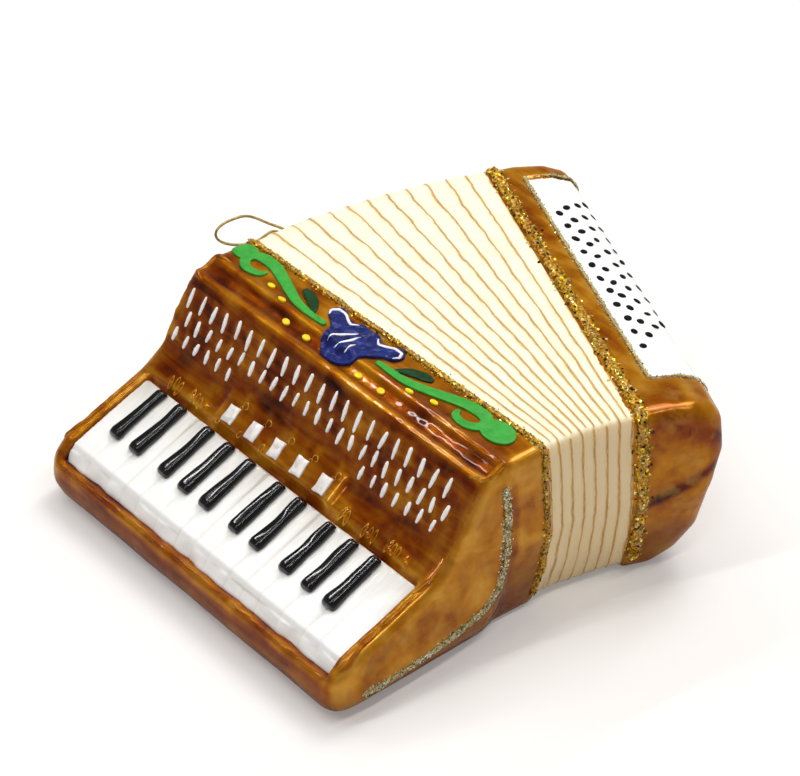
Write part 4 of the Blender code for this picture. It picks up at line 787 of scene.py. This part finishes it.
# How many loops stand behind each black key
LOOP_SETS = {1: 3, 2: 3, 3: 1, 4: 1, 5: 1, 8: 2, 9: 3, 10: 3}
LOOP_RISE = 0.9 * MM
loop_places = []
for number, loops in LOOP_SETS.items():
    key_low, key_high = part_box(f"black_key_{number:02d}")
    for index in range(loops):
        spot = ledge_middle + ledge_up * random.uniform(-0.5, 0.3) * MM
        spot.y = (key_low.y + key_high.y) / 2.0 - (0.2 + 1.25 * index) * MM
        hit = glass_skin.ray_cast(spot + ledge_out * 5.0 * MM, -ledge_out)[0]
        width = random.uniform(0.8, 1.05) * MM
        length = random.uniform(2.0, 2.9) * MM * (0.6 if loops == 1 else 1.0)
        forward = ledge_up + Vector((0.0, random.uniform(-0.25, 0.25), 0.0))
        loop_places.append(bit_at(hit, ledge_out, forward, (width, length, LOOP_RISE)))
# Two beads beside each tab: how far up, how far along and how wide they are, in millimetres
for number in range(1, 6):
    tab_low, tab_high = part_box(f"register_tab_{number}")
    for reach, side, width in ((2.7, -1.9, 1.35), (1.9, -1.2, 0.75)):
        spot = (tab_low + tab_high) / 2.0 + grille_up * reach * MM
        spot.y += side * MM
        hit = glass_skin.ray_cast(spot + grille_out * 4.0 * MM, -grille_out)[0]
        size = (width * MM, width * random.uniform(0.9, 1.3) * MM, LOOP_RISE)
        loop_places.append(bit_at(hit, grille_out, grille_up, size))
loops = scatter("highlight_loops", loop.data, loop_places)
bpy.data.objects.remove(loop)
waver(loops, 0.9 * MM, 0.10 * MM, 5.0)
# The loops and beads get the palest gold: painted highlight
lacquer_bit(loops, 0.02)

BED_RIM = ((-49.0, -43.7, 10.6), (-40.0, -43.9, 15.6), (-30.5, -43.9, 21.0))
GRILLE_RIM = ((-25.0, -44.4, 25.4), (-20.5, -44.6, 32.0), (-16.6, -44.5, 38.2))
DECK_CORNER = ((-16.2, -41.0, 39.0), (-15.2, -44.2, 39.6), (-9.8, -44.4, 41.0), (-8.6, -40.0, 41.2))
# Each run's name, its radius and its places from the joint, in millimetres
RUNS = (
    ("near_bed_rim", 0.55, BED_RIM),
    ("far_bed_rim", 0.55, other_end(BED_RIM)),
    ("near_bed_corner", 0.70, ((-31.5, -43.4, 21.4), (-28.6, -44.2, 22.6), (-26.0, -44.4, 24.0))),
    ("near_grille_rim", 0.45, GRILLE_RIM),
    ("far_grille_rim", 0.45, other_end(GRILLE_RIM)),
    ("near_deck_corner", 0.60, DECK_CORNER),
    ("far_deck_corner", 0.60, other_end(DECK_CORNER)),
    ("front_rail_run", 0.40, ((-50.6, -42.0, 9.2), (-50.9, -20.0, 9.4), (-50.7, 5.0, 9.1), (-50.9, 42.0, 9.3))),
)


def tube_on(name, points, radius, skin, wobble):
    """A soft round tube of uneven thickness that follows a line of places along a skin."""
    line = []
    for start, end in zip(points, points[1:]):
        steps = max(2, round((end - start).length / (1.3 * MM)))
        line += [start.lerp(end, step / steps) for step in range(steps)]
    line.append(points[-1])
    curve = bpy.data.curves.new(name, "CURVE")
    curve.dimensions = "3D"
    curve.bevel_depth = radius
    curve.bevel_resolution = 3
    curve.use_fill_caps = True
    spline = curve.splines.new("NURBS")
    spline.points.add(len(line) - 1)
    spline.order_u = 3
    spline.use_endpoint_u = True
    spline.resolution_u = 4
    for index, (point, place) in enumerate(zip(spline.points, line)):
        spot, normal, _, _ = skin.find_nearest(place)
        shifted = spot + Vector([random.uniform(-wobble, wobble) for _ in range(3)]) - normal * radius * 0.25
        point.co = (*shifted, 1.0)
        taper = min(1.0, 0.35 + 0.35 * min(index, len(line) - 1 - index))
        point.radius = taper * random.uniform(1.0 - wobble / radius, 1.0 + wobble / radius)
    tube = add_object(name, curve)
    only(tube)
    bpy.ops.object.convert(target="MESH")
    bpy.ops.object.mode_set(mode="EDIT")
    bpy.ops.mesh.select_all(action="SELECT")
    bpy.ops.mesh.remove_doubles(threshold=MERGE_REACH)
    bpy.ops.mesh.normals_make_consistent(inside=False)
    bpy.ops.object.mode_set(mode="OBJECT")
    tube.data.shade_smooth()
    return tube


for name, radius, points in RUNS:
    line = [JOINT + Vector(point) * MM for point in points]
    lacquer_bit(tube_on(name + "_run", line, radius * MM, glass_skin, 0.16 * MM), 0.36)


# Bellows
# Cream enamel over the pleated glass fan. A thin brown line is painted down every fold, and the near side,
# turned from the lamps, is a duller beige of painted shade.
FOLD_COUNT = 12
FOLD_STEPS = 8
FLAT_STEPS = 90
SIDE_STEPS = 56
LINE_WIDTH = 0.44 * MM
COAT_DEPTH = 0.75 * MM
MIDDLE_HEIGHT = 20.0 * MM
SIDE_REACH = 38.0 * MM
FAR_OUT = 60.0 * MM
NECK_HOLE = 6.3 * MM
END_SHARE = 0.018
END_OVERLAP = 0.003
bellows_skin = surface_of(frame["nodes"]["bellows_enamel"])


def fan_place(angle, radius, height):
    """A place in the fan, from its angle past the keyboard's joint and its radius from the fan's centre."""
    return JOINT + Vector((math.sin(angle) * radius, math.cos(angle) * radius - FAN_RADIUS, height))


# Ways out of the fan's middle, once round its section: (start, way along the radius, way up)
ways_out = []
for side in (1.0, -1.0):
    for step in range(FLAT_STEPS):
        ways_out.append((-side * SIDE_REACH * (1.0 - 2.0 * step / FLAT_STEPS), 0.0, side))
    for step in range(SIDE_STEPS):
        bow = math.pi * step / SIDE_STEPS
        ways_out.append((side * SIDE_REACH, side * math.sin(bow), side * math.cos(bow)))

stations = FOLD_COUNT * FOLD_STEPS
angles, reaches, heights = [], [], []
for station in range(stations + 1):
    share = min(max(station / stations, END_SHARE), 1.0 - END_SHARE)
    angle = FAN_ANGLE * share
    angles.append(FAN_ANGLE * min(max(station / stations, END_OVERLAP), 1.0 - END_OVERLAP))
    for start_radius, out, high in ways_out:
        start = fan_place(angle, FAN_RADIUS + start_radius, MIDDLE_HEIGHT)
        way = Vector((math.sin(angle) * out, math.cos(angle) * out, high))
        place = bellows_skin.ray_cast(start + way * FAR_OUT, -way, FAR_OUT)[0]
        if place is None:
            place = start + way * (HALF_LENGTH - SIDE_REACH) / max(abs(out), 0.5)
        from_centre = place - JOINT + Vector((0.0, FAN_RADIUS, 0.0))
        reaches.append(from_centre.xy.length)
        heights.append(place.z)
around = len(ways_out)


def evened(values):
    """Values on the sleeve with the zigzag of the folds averaged out along the fan."""
    rows = np.array(values).reshape(stations + 1, around)
    half = FOLD_STEPS // 2
    padded = np.pad(rows, ((half, half), (0, 0)), mode="edge")
    weights = np.ones(FOLD_STEPS + 1)
    weights[[0, -1]] = 0.5
    return sum(padded[step : step + stations + 1] * weight for step, weight in enumerate(weights)) / FOLD_STEPS


reach, height = evened(reaches), evened(heights)
turns = np.repeat(np.array(angles)[:, None], around, axis=1)
turn_sin, turn_cos = np.sin(turns), np.cos(turns)
points = np.stack((turn_sin * reach + JOINT.x, turn_cos * reach - FAN_RADIUS + JOINT.y, height), axis=2)
quads = []
for foot in range(0, stations * around, around):
    for index in range(around):
        follow = (index + 1) % around
        quads.append((foot + index, foot + around + index, foot + around + follow, foot + follow))
bellows_mesh = bpy.data.meshes.new("cream_bellows")
bellows_mesh.from_pydata(points.reshape(-1, 3).tolist(), [], quads)
bellows = add_object("cream_bellows", bellows_mesh)
bellows.data.shade_smooth()
# The lines on the top don't meet those on the near side, which has fewer and wider folds
NEAR_FOLD_START, NEAR_FOLD_WIDTH = 1.90, 1.62
NEAR_SIDE_RADIUS = 60.0
fold = (turns / FAN_ANGLE * FOLD_COUNT).ravel()
near_fold = (fold - NEAR_FOLD_START) / NEAR_FOLD_WIDTH
radius = reach.ravel() / MM
places, normals = skin_of(bellows)
outward = normals[:, 0] * turn_sin.ravel() + normals[:, 1] * turn_cos.ravel()
outward = np.where(radius < NEAR_SIDE_RADIUS, outward, 0.0)
near_face = step_up(-outward, 0.35, 0.6)
for name, values in (("fold", fold), ("near_fold", near_fold), ("radius", radius), ("near_face", near_face)):
    put_attribute(bellows, name, values)
counted = np.where(near_face > 0.5, near_fold, fold)
from_edge = np.abs((counted + 0.5) % 1.0 - 0.5)
ridge = np.exp(-((from_edge / 0.10) ** 2)) * 0.16
groove = np.exp(-(((from_edge - 0.22) / 0.10) ** 2)) * 0.12
move_skin(bellows, places + normals * ((ridge - groove) * MM)[:, None])
waver(bellows, 7.0 * MM, 0.20 * MM, 2.0)
apply_modifier(bellows, "SOLIDIFY", {"thickness": COAT_DEPTH, "offset": -1.0})
# The neck comes out through a round hole in the coat
bpy.ops.mesh.primitive_cylinder_add(vertices=64, radius=NECK_HOLE, depth=20.0 * MM, location=NECK_FOOT)
drill = bpy.context.active_object
drill.rotation_euler = NECK_AXIS.to_track_quat("Z", "Y").to_euler()
apply_modifier(bellows, "BOOLEAN", {"operation": "DIFFERENCE", "object": drill, "solver": "EXACT"})
bpy.data.objects.remove(drill)

# Satin cream enamel: brush marks run down each fold, and painted shade yellows it beside each line
HALF_LINE = LINE_WIDTH / MM / 2.0
CREAMS = ((0.25, "#fffae0"), (0.55, "#fdf1ca"), (1.0, "#f0dcae"))
cream, tree = blank_material("brushed_cream_enamel")
place = node(tree, "TexCoord", {}, "Object")
radius_value, near_value = (
    node(tree, "Attribute", {"attribute_name": name}, "Fac") for name in ("radius", "near_face")
)
wobble, ragged, marks = (
    node(tree, "TexNoise", {"Vector": place, "Scale": 1.0 / (wave * MM), "Detail": 3.0}) for wave in (6.0, 1.1, 3.2)
)
wobble = node(tree, "Math", {"operation": "MULTIPLY_ADD", 0: wobble, 1: 0.40, 2: -0.20})
from_lines = []
for attribute, width in (("fold", 1.0), ("near_fold", NEAR_FOLD_WIDTH)):
    fold_value = node(tree, "Attribute", {"attribute_name": attribute}, "Fac")
    moved_fold = node(tree, "Math", {"operation": "ADD", 0: fold_value, 1: wobble})
    from_fold = node(tree, "Math", {"operation": "PINGPONG", 0: moved_fold, 1: 0.5})
    fold_width = node(tree, "Math", {"operation": "MULTIPLY", 0: radius_value, 1: width * FAN_ANGLE / FOLD_COUNT})
    from_lines.append(node(tree, "Math", {"operation": "MULTIPLY", 0: from_fold, 1: fold_width}))
from_line = node(tree, "Mix", {"data_type": "FLOAT", 0: near_value, 2: from_lines[0], 3: from_lines[1]})
ragged_line = node(tree, "Math", {"operation": "MULTIPLY_ADD", 0: ragged, 1: -0.30, 2: from_line})
span = {"From Min": HALF_LINE - 0.24, "From Max": HALF_LINE - 0.06, "To Min": 1.0, "To Max": 0.0}
line_share = node(tree, "MapRange", {"Value": ragged_line, **span})
# Painted shade: the cream turns yellower near each fold line
span = {"From Min": 0.1, "From Max": 0.9, "To Min": 0.45, "To Max": 0.0}
beside = node(tree, "MapRange", {"Value": from_line, **span})
spread = node(tree, "Math", {"operation": "MULTIPLY_ADD", 0: marks, 1: 0.6, 2: beside})
tone = node(tree, "ValToRGB", {"Fac": spread, "stops": CREAMS})
# Painted shade: the near side turns towards a duller beige
near_shade_share = node(tree, "Math", {"operation": "MULTIPLY", 0: near_value, 1: 0.80})
toned = node(tree, "Mix", {"data_type": "RGBA", 0: near_shade_share, 6: tone, 7: linear("#f0d29c")}, 2)
ink = node(tree, "ValToRGB", {"Fac": ragged, "stops": ((0.3, "#a87022"), (0.7, "#daa852"))})
line_strength = node(tree, "Math", {"operation": "MULTIPLY", 0: line_share, 1: 0.88})
lined = node(tree, "Mix", {"data_type": "RGBA", 0: line_strength, 6: toned, 7: ink}, 2)
bumps = node(tree, "Bump", {"Height": line_share, "Strength": 0.3, "Distance": 0.12 * MM})
bumps = node(tree, "Bump", {"Height": marks, "Strength": 0.25, "Distance": 0.3 * MM, "Normal": bumps})
look = {"Base Color": lined, "Roughness": 0.40, "Coat Weight": 0.1, "Coat Roughness": 0.25, "Normal": bumps}
node(tree, "OutputMaterial", {"Surface": node(tree, "BsdfPrincipled", look)})
dress(bellows, cream, "ornament", "cream_enamel", "bellows_enamel")


# Bass panel
# White enamel on the bass box's rounded shoulder, with four rows of flat black dots for its buttons.
# Each column's place round the shoulder, nearest dot and spacing, in millimetres
DOT_COLUMNS = ((2.2, -23.4, 4.84), (4.4, -19.6, 4.64), (7.2, -16.4, 4.45), (9.8, -14.9, 4.42))
DOT_ROWS = 11
DOT_WIDTH = 1.74 * MM
DOT_DEPTH = 0.24 * MM
PANEL_TOP = 0.88 * MM

panel = copy_of("bass_panel", "bass_panel_enamel")
soften(panel, 0.34 * MM, 4)
lay_on(panel, glass_skin, 1.3, PANEL_TOP)
put_attribute(panel, "dry_grey_and_shade", -0.50)
waver(panel, 3.4 * MM, 0.07 * MM, 6.0)
dress(panel, white_enamel, "ornament", "panel_enamel", "bass_panel")

bass_way = Vector((math.cos(FAN_ANGLE), -math.sin(FAN_ANGLE), 0.0))
panel_skin = surface_of(panel)


def panel_line(along):
    """The panel's section at a place along the box: arc length, places and normals from the strip's edge."""
    middle = fan_place(FAN_ANGLE, FAN_RADIUS + along, 24.0 * MM) + bass_way * 6.0 * MM
    found = []
    for step in range(120):
        lean = math.radians(-40.0 + step * 1.5)
        way = bass_way * math.sin(lean) + Vector((0.0, 0.0, math.cos(lean)))
        place, normal = panel_skin.ray_cast(middle + way * FAR_OUT, -way, FAR_OUT)[:2]
        if place is not None:
            found.append((place, normal))
    run = [0.0]
    for (before, _), (after, _) in zip(found, found[1:]):
        run.append(run[-1] + (after - before).length)
    return run, found


bpy.ops.mesh.primitive_uv_sphere_add(segments=20, ring_count=10, radius=0.5)
blot = bpy.context.active_object
blot_places = []
for arc, first_along, pitch in DOT_COLUMNS:
    for row in range(DOT_ROWS):
        along = (first_along + pitch * row + random.uniform(-0.25, 0.25)) * MM
        run, found = panel_line(along)
        wanted = (arc + random.uniform(-0.15, 0.15)) * MM
        index = min(range(len(run)), key=lambda step: abs(run[step] - wanted))
        place, normal = found[index]
        forward = fan_place(FAN_ANGLE, FAR_OUT, 0.0) - fan_place(FAN_ANGLE, 0.0, 0.0)
        turned = Matrix.Rotation(random.uniform(-0.5, 0.5), 3, normal) @ forward
        size = (DOT_WIDTH * random.uniform(0.75, 0.95), DOT_WIDTH * random.uniform(0.95, 1.2), DOT_DEPTH)
        blot_places.append(bit_at(place, normal, turned, size))
dots = scatter("bass_button_dots", blot.data, blot_places)
bpy.data.objects.remove(blot)

# Thin flat black paint, with none of the keys' gloss
dot_paint = mottled(
    "flat_black_dot_paint",
    0.9,
    ((0.3, "#020202"), (0.8, "#0d0c0c")),
    {"Detail": 2.0},
    {"Roughness": 0.6, "Specular IOR Level": 0.1},
)
dress(dots, dot_paint, "ornament", "black_enamel")


# Glitter lines
# Lines of glue strewn with hexagonal foil glitter: coarse gold on the two joints, finer and paler round
# the bass panel and on the keyboard box's ends.
def glitter_material(name, colours, glue_colour):
    """Foil flakes of mixed colours, each a small mirror, and the amber glue under them."""
    foil, tree = blank_material(name)
    tint = node(tree, "Attribute", {"attribute_name": "tint"}, "Fac")
    tones = node(tree, "ValToRGB", {"Fac": tint, "stops": colours})
    tones.node.color_ramp.interpolation = "CONSTANT"
    look = {"Base Color": tones, "Metallic": 0.5, "Roughness": 0.2, "Specular IOR Level": 0.3}
    node(tree, "OutputMaterial", {"Surface": node(tree, "BsdfPrincipled", look)})
    glue_tones = ((0.35, glue_colour), (0.65, colours[0][1]))
    return foil, mottled(name + "_glue", 0.5, glue_tones, {}, {"Roughness": 0.35, "Coat Weight": 0.5})


def sprinkle(source, name, count, sizes, spread):
    """Strew flakes over a glitter line: its bead of glue and one object of flakes, some strewn beside it."""
    bead = copy_of(source, name + "_glue")
    soften(bead, 0.22 * MM, 3)
    lay_on(bead, glass_skin, 1.0)
    waver(bead, 1.2 * MM, 0.16 * MM, len(source))
    mesh = bead.data
    areas = np.array([face.area for face in mesh.polygons])
    chosen = np.random.default_rng(len(source) + count).choice(len(areas), count, p=areas / areas.sum())
    bpy.ops.mesh.primitive_cylinder_add(vertices=6, radius=0.5, depth=0.12)
    flake = bpy.context.active_object
    flake_places = []
    for index in chosen:
        face = mesh.polygons[int(index)]
        centre, normal, tilt = face.center.copy(), face.normal.copy(), 0.70
        centre += normal * random.uniform(0.0, 0.15) * MM
        if random.random() < 0.60:
            strewn = centre + Vector([random.gauss(0.0, spread) for _ in range(3)]) * MM
            found = [skin.find_nearest(strewn) for skin in (glass_skin, coat_skin, panel_skin)]
            spot, facing, _, _ = min(found, key=lambda near: near[3])
            if facing.dot(strewn - spot) > 0.0:
                centre, normal, tilt = spot + facing * 0.06 * MM, facing, 0.30
        tipped = normal + Vector([random.uniform(-tilt, tilt) for _ in range(3)])
        size = random.uniform(*sizes) * MM
        spun = Matrix.Rotation(random.uniform(0.0, math.tau), 4, "Z")
        turned = frame_at(centre, tipped, Vector((0.3, 1.0, 0.2))) @ spun
        flake_places.append(turned @ Matrix.Diagonal((size, size, size, 1.0)))
    corners = len(flake.data.vertices)
    flakes = scatter(name, flake.data, flake_places)
    flakes.data.shade_flat()
    bpy.data.objects.remove(flake)
    put_attribute(flakes, "tint", [tint for tint in (random.random() for _ in chosen) for _ in range(corners)])
    return bead, flakes


coat_skin = surface_of(bellows)
# The near-white flakes are partly pale foil and partly painted glints
GOLD_FLAKES = (
    (0.00, "#e6ac18"),
    (0.22, "#ffdc4a"),
    (0.40, "#8f8a1e"),
    (0.54, "#a85a10"),
    (0.66, "#fff4a4"),
    (0.74, "#3e2406"),
    (0.90, "#c0850f"),
)
# The near-white flakes are partly pale foil and partly painted glints
PALE_FLAKES = (
    (0.00, "#cfc078"),
    (0.24, "#f2ecc4"),
    (0.44, "#8e8648"),
    (0.64, "#544a20"),
    (0.80, "#fffdf0"),
)
gold_foil, gold_glue = glitter_material("coarse_gold_foil_glitter", GOLD_FLAKES, "#6a3d08")
pale_foil, pale_glue = glitter_material("fine_pale_foil_glitter", PALE_FLAKES, "#9a7a40")
GLITTER_LINES = (
    ("bass_joint_glitter", 5200, (0.32, 0.78), 0.45, gold_foil, gold_glue, "gold_glitter"),
    ("treble_joint_glitter", 5200, (0.24, 0.50), 0.36, gold_foil, gold_glue, "gold_glitter"),
    ("panel_border_glitter", 3000, (0.18, 0.34), 0.22, pale_foil, pale_glue, "pale_glitter"),
    ("near_cheek_glitter", 7000, (0.20, 0.38), 0.34, pale_foil, pale_glue, "pale_glitter"),
    ("far_cheek_glitter", 7000, (0.20, 0.38), 0.34, pale_foil, pale_glue, "pale_glitter"),
)
for source, count, sizes, spread, foil, glue, slot in GLITTER_LINES:
    bead, flakes = sprinkle(source, source + "_flakes", count, sizes, spread)
    dress(bead, glue, "ornament", slot, source)
    dress(flakes, foil, "ornament", slot)


# Vine, leaves and yellow dots
# Painted on the deck with a fine brush in thick semi-gloss paint, each stroke with a rounded edge.
def brush_paint(name, dark, light, wave):
    """Thick semi-gloss paint whose shade changes a little as the brush runs out."""
    grain = {"Detail": 4.0, "Roughness": 0.6}
    gloss = {"Roughness": 0.30, "Specular IOR Level": 0.25}
    return mottled(name, wave, ((0.33, dark), (0.66, light)), grain, gloss, bump=(0.12, 0.12))


OVERHEAD = Vector((0.0, 0.0, 1.0))
DECK_REACH = 44.5 * MM
LEAF_SHIFT = 0.7 * MM
LEAF_GROWTH = {"vine_far": 1.55, "vine_near": 1.95}


def paint_coat(source, name, depth, rounds, spread):
    """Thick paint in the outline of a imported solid, rounded and spread wider, laid on the glass from above."""
    solid = copy_of(source, name)
    uses = {}
    for face in solid.data.polygons:
        if face.normal.z > 0.3:
            for key in face.edge_keys:
                uses[key] = uses.get(key, 0) + 1
    # An edge that only one upper face uses is part of an outline; follow each outline round
    beside = {}
    for first, second in (key for key, number in uses.items() if number == 1):
        beside.setdefault(first, []).append(second)
        beside.setdefault(second, []).append(first)
    rings = []
    while beside:
        start, (follow, _) = next(iter(beside.items()))
        ring = [start, follow]
        while ring[-1] != start:
            ring.append(next(index for index in beside[ring[-1]] if index != ring[-2]))
        for index in ring[1:]:
            del beside[index]
        rings.append(np.array([solid.data.vertices[index].co.xy for index in ring[1:]]))
    bpy.data.objects.remove(solid)
    # The leaf at a vine's end is an oval blob, pressed out away from the stem as far as the deck goes
    rings.sort(key=len)
    for index, leaf in enumerate(rings[:-1]):
        middle = leaf.mean(axis=0)
        outward = math.copysign(1.0, middle[1] - JOINT.y)
        halves = np.linalg.cholesky(np.cov((leaf - middle).T)) * LEAF_GROWTH[source]
        turns = np.linspace(0.0, 2.0 * math.pi, 24, endpoint=False)
        grown = middle + np.stack((np.cos(turns), np.sin(turns)), axis=1) @ halves.T
        reach = ((grown[:, 1] - JOINT.y) * outward).max()
        grown[:, 1] += outward * min(LEAF_SHIFT, DECK_REACH - reach)
        rings[index] = grown
    coats = []
    for outline in rings:
        for _ in range(rounds):
            after = np.roll(outline, -1, axis=0)
            nearer, farther = outline * 0.75 + after * 0.25, outline * 0.25 + after * 0.75
            outline = np.stack((nearer, farther), axis=1).reshape(-1, 2)
        before, after = np.roll(outline, 1, axis=0), np.roll(outline, -1, axis=0)
        turning_way = np.sign((outline[:, 0] * after[:, 1] - after[:, 0] * outline[:, 1]).sum())
        way = (after - before) / (np.linalg.norm(after - before, axis=1)[:, None] + 1e-9) * turning_way
        outline = outline + np.stack((way[:, 1], -way[:, 0]), axis=1) * spread
        curve = bpy.data.curves.new(name, "CURVE")
        curve.dimensions = "2D"
        curve.fill_mode = "BOTH"
        curve.extrude = depth / 2.0
        spline = curve.splines.new("POLY")
        spline.points.add(len(outline) - 1)
        spline.use_cyclic_u = True
        for point, (x, y) in zip(spline.points, outline):
            point.co = (x, y, 0.0, 1.0)
        coats.append(add_object(name, curve))
    only(coats[0])
    for coat in coats:
        coat.select_set(True)
    bpy.ops.object.convert(target="MESH")
    if len(coats) > 1:
        bpy.ops.object.join()
    coat = bpy.context.active_object
    merge_corners(coat)
    soften(coat, 0.11 * MM, 6)
    places, _ = skin_of(coat)
    for place in places:
        over = Vector((place[0], place[1], FAR_OUT))
        spot = glass_skin.ray_cast(over, -OVERHEAD)[0] or glass_skin.find_nearest(over)[0]
        place[2] += spot.z + depth / 2.0 - SUNK
    move_skin(coat, places)
    return coat


leaf_green = brush_paint("leaf_green_paint", "#349a33", "#45b043", 1.6)
dark_green = brush_paint("dark_green_paint", "#07280a", "#11481a", 1.2)
yellow = brush_paint("yellow_paint", "#f6cf08", "#ffe528", 1.0)
deep_blue = brush_paint("deep_blue_paint", "#080e44", "#182a80", 1.6)
PAINTED = (
    ("vine_far", leaf_green, "leaf_green_paint"),
    ("vine_near", leaf_green, "leaf_green_paint"),
    ("leaf_far", dark_green, "dark_green_paint"),
    ("leaf_near", dark_green, "dark_green_paint"),
)
PAINTED += tuple((f"yellow_dot_{number}", yellow, "yellow_paint") for number in range(1, 9))
for source, paint, slot in PAINTED:
    spread = -0.26 * MM if source.startswith("yellow") else 0.16 * MM
    coat = paint_coat(source, source + "_paint", 0.50 * MM, 3, spread)
    waver(coat, 1.6 * MM, 0.05 * MM, len(source) + 3.0)
    dress(coat, paint, "ornament", slot, source)


# Blue bell flower
# Painted like the vine, in deep blue, with thin white strokes that round its petals.
flower = paint_coat("flower", "flower_paint", 0.80 * MM, 2, 0.10 * MM)
waver(flower, 1.5 * MM, 0.26 * MM, 8.0)
dress(flower, deep_blue, "ornament", "blue_paint", "flower")

FLOWER_MIDDLE = JOINT + Vector((0.0, 3.7, 0.0)) * MM
PETAL_STROKE = ((-5.4, 9.7), (-4.2, 10.4), (-2.9, 9.6), (-2.8, 7.8), (-3.9, 5.6), (-4.4, 4.2), (-3.3, 2.9))
CUP_STROKES = (
    ((-10.9, 3.3), (-9.5, 3.5), (-7.2, 2.4), (-5.2, 0.8)),
    ((-11.2, 0.9), (-9.6, 0.4), (-7.4, -0.1), (-5.4, -0.2)),
    ((-10.9, -1.9), (-9.3, -1.9), (-7.6, -1.4)),
)
flower_skin = surface_of(flower)
white_lines = [PETAL_STROKE, tuple((x, -y) for x, y in PETAL_STROKE), *CUP_STROKES]
for number, line in enumerate(white_lines, 1):
    over = [FLOWER_MIDDLE + Vector((x, y, 60.0)) * MM for x, y in line]
    hits = [flower_skin.ray_cast(place, -OVERHEAD)[0] for place in over]
    hits = [hit for hit in hits if hit is not None]
    stroke = tube_on(f"flower_white_line_{number}", hits, 0.32 * MM, flower_skin, 0.03 * MM)
    dress(stroke, blush, "ornament", "tab_enamel")


# Cap and wire loop
# The cap is pressed from thin brass-coloured sheet with a crimped skirt; the loop is springy brass wire
# whose two legs hold it in the neck.
# Thin sheet metal, brighter and sharper where it was rubbed
sheet_tones = ((0.35, "#b8974a"), (0.7, "#e6cf8c"))
brass_sheet = mottled("pressed_brass_sheet", 2.0, sheet_tones, {"Detail": 5.0}, {"Metallic": 1.0}, rub=(0.2, 0.45))
cap = copy_of("hanger_cap", "crimped_cap")
soften(cap, 0.16 * MM, 2)
dress(cap, brass_sheet, "cap", "brass_sheet", "hanger_cap")

# Wire drawn through a die, duller than the cap and faintly scored
wire_tones = ((0.3, "#8a7238"), (0.75, "#c2aa6c"))
wire_gloss = {"Metallic": 1.0, "Roughness": 0.3}
brass_wire = mottled("drawn_brass_wire", 0.8, wire_tones, {"Detail": 4.0}, wire_gloss, bump=(0.2, 0.05))
wire = copy_of("hanger_wire", "wire_loop")
bpy.ops.object.mode_set(mode="EDIT")
bpy.ops.mesh.select_all(action="SELECT")
bpy.ops.mesh.tris_convert_to_quads()
bpy.ops.object.mode_set(mode="OBJECT")
apply_modifier(wire, "SUBSURF", {"levels": 2, "render_levels": 2})
wire.data.shade_smooth()
dress(wire, brass_wire, "hanger", "brass_wire", "hanger_wire")

low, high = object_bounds()
sizes = {"cad": [list(cad_low), list(cad_high)], "visual": [list(low), list(high)]}
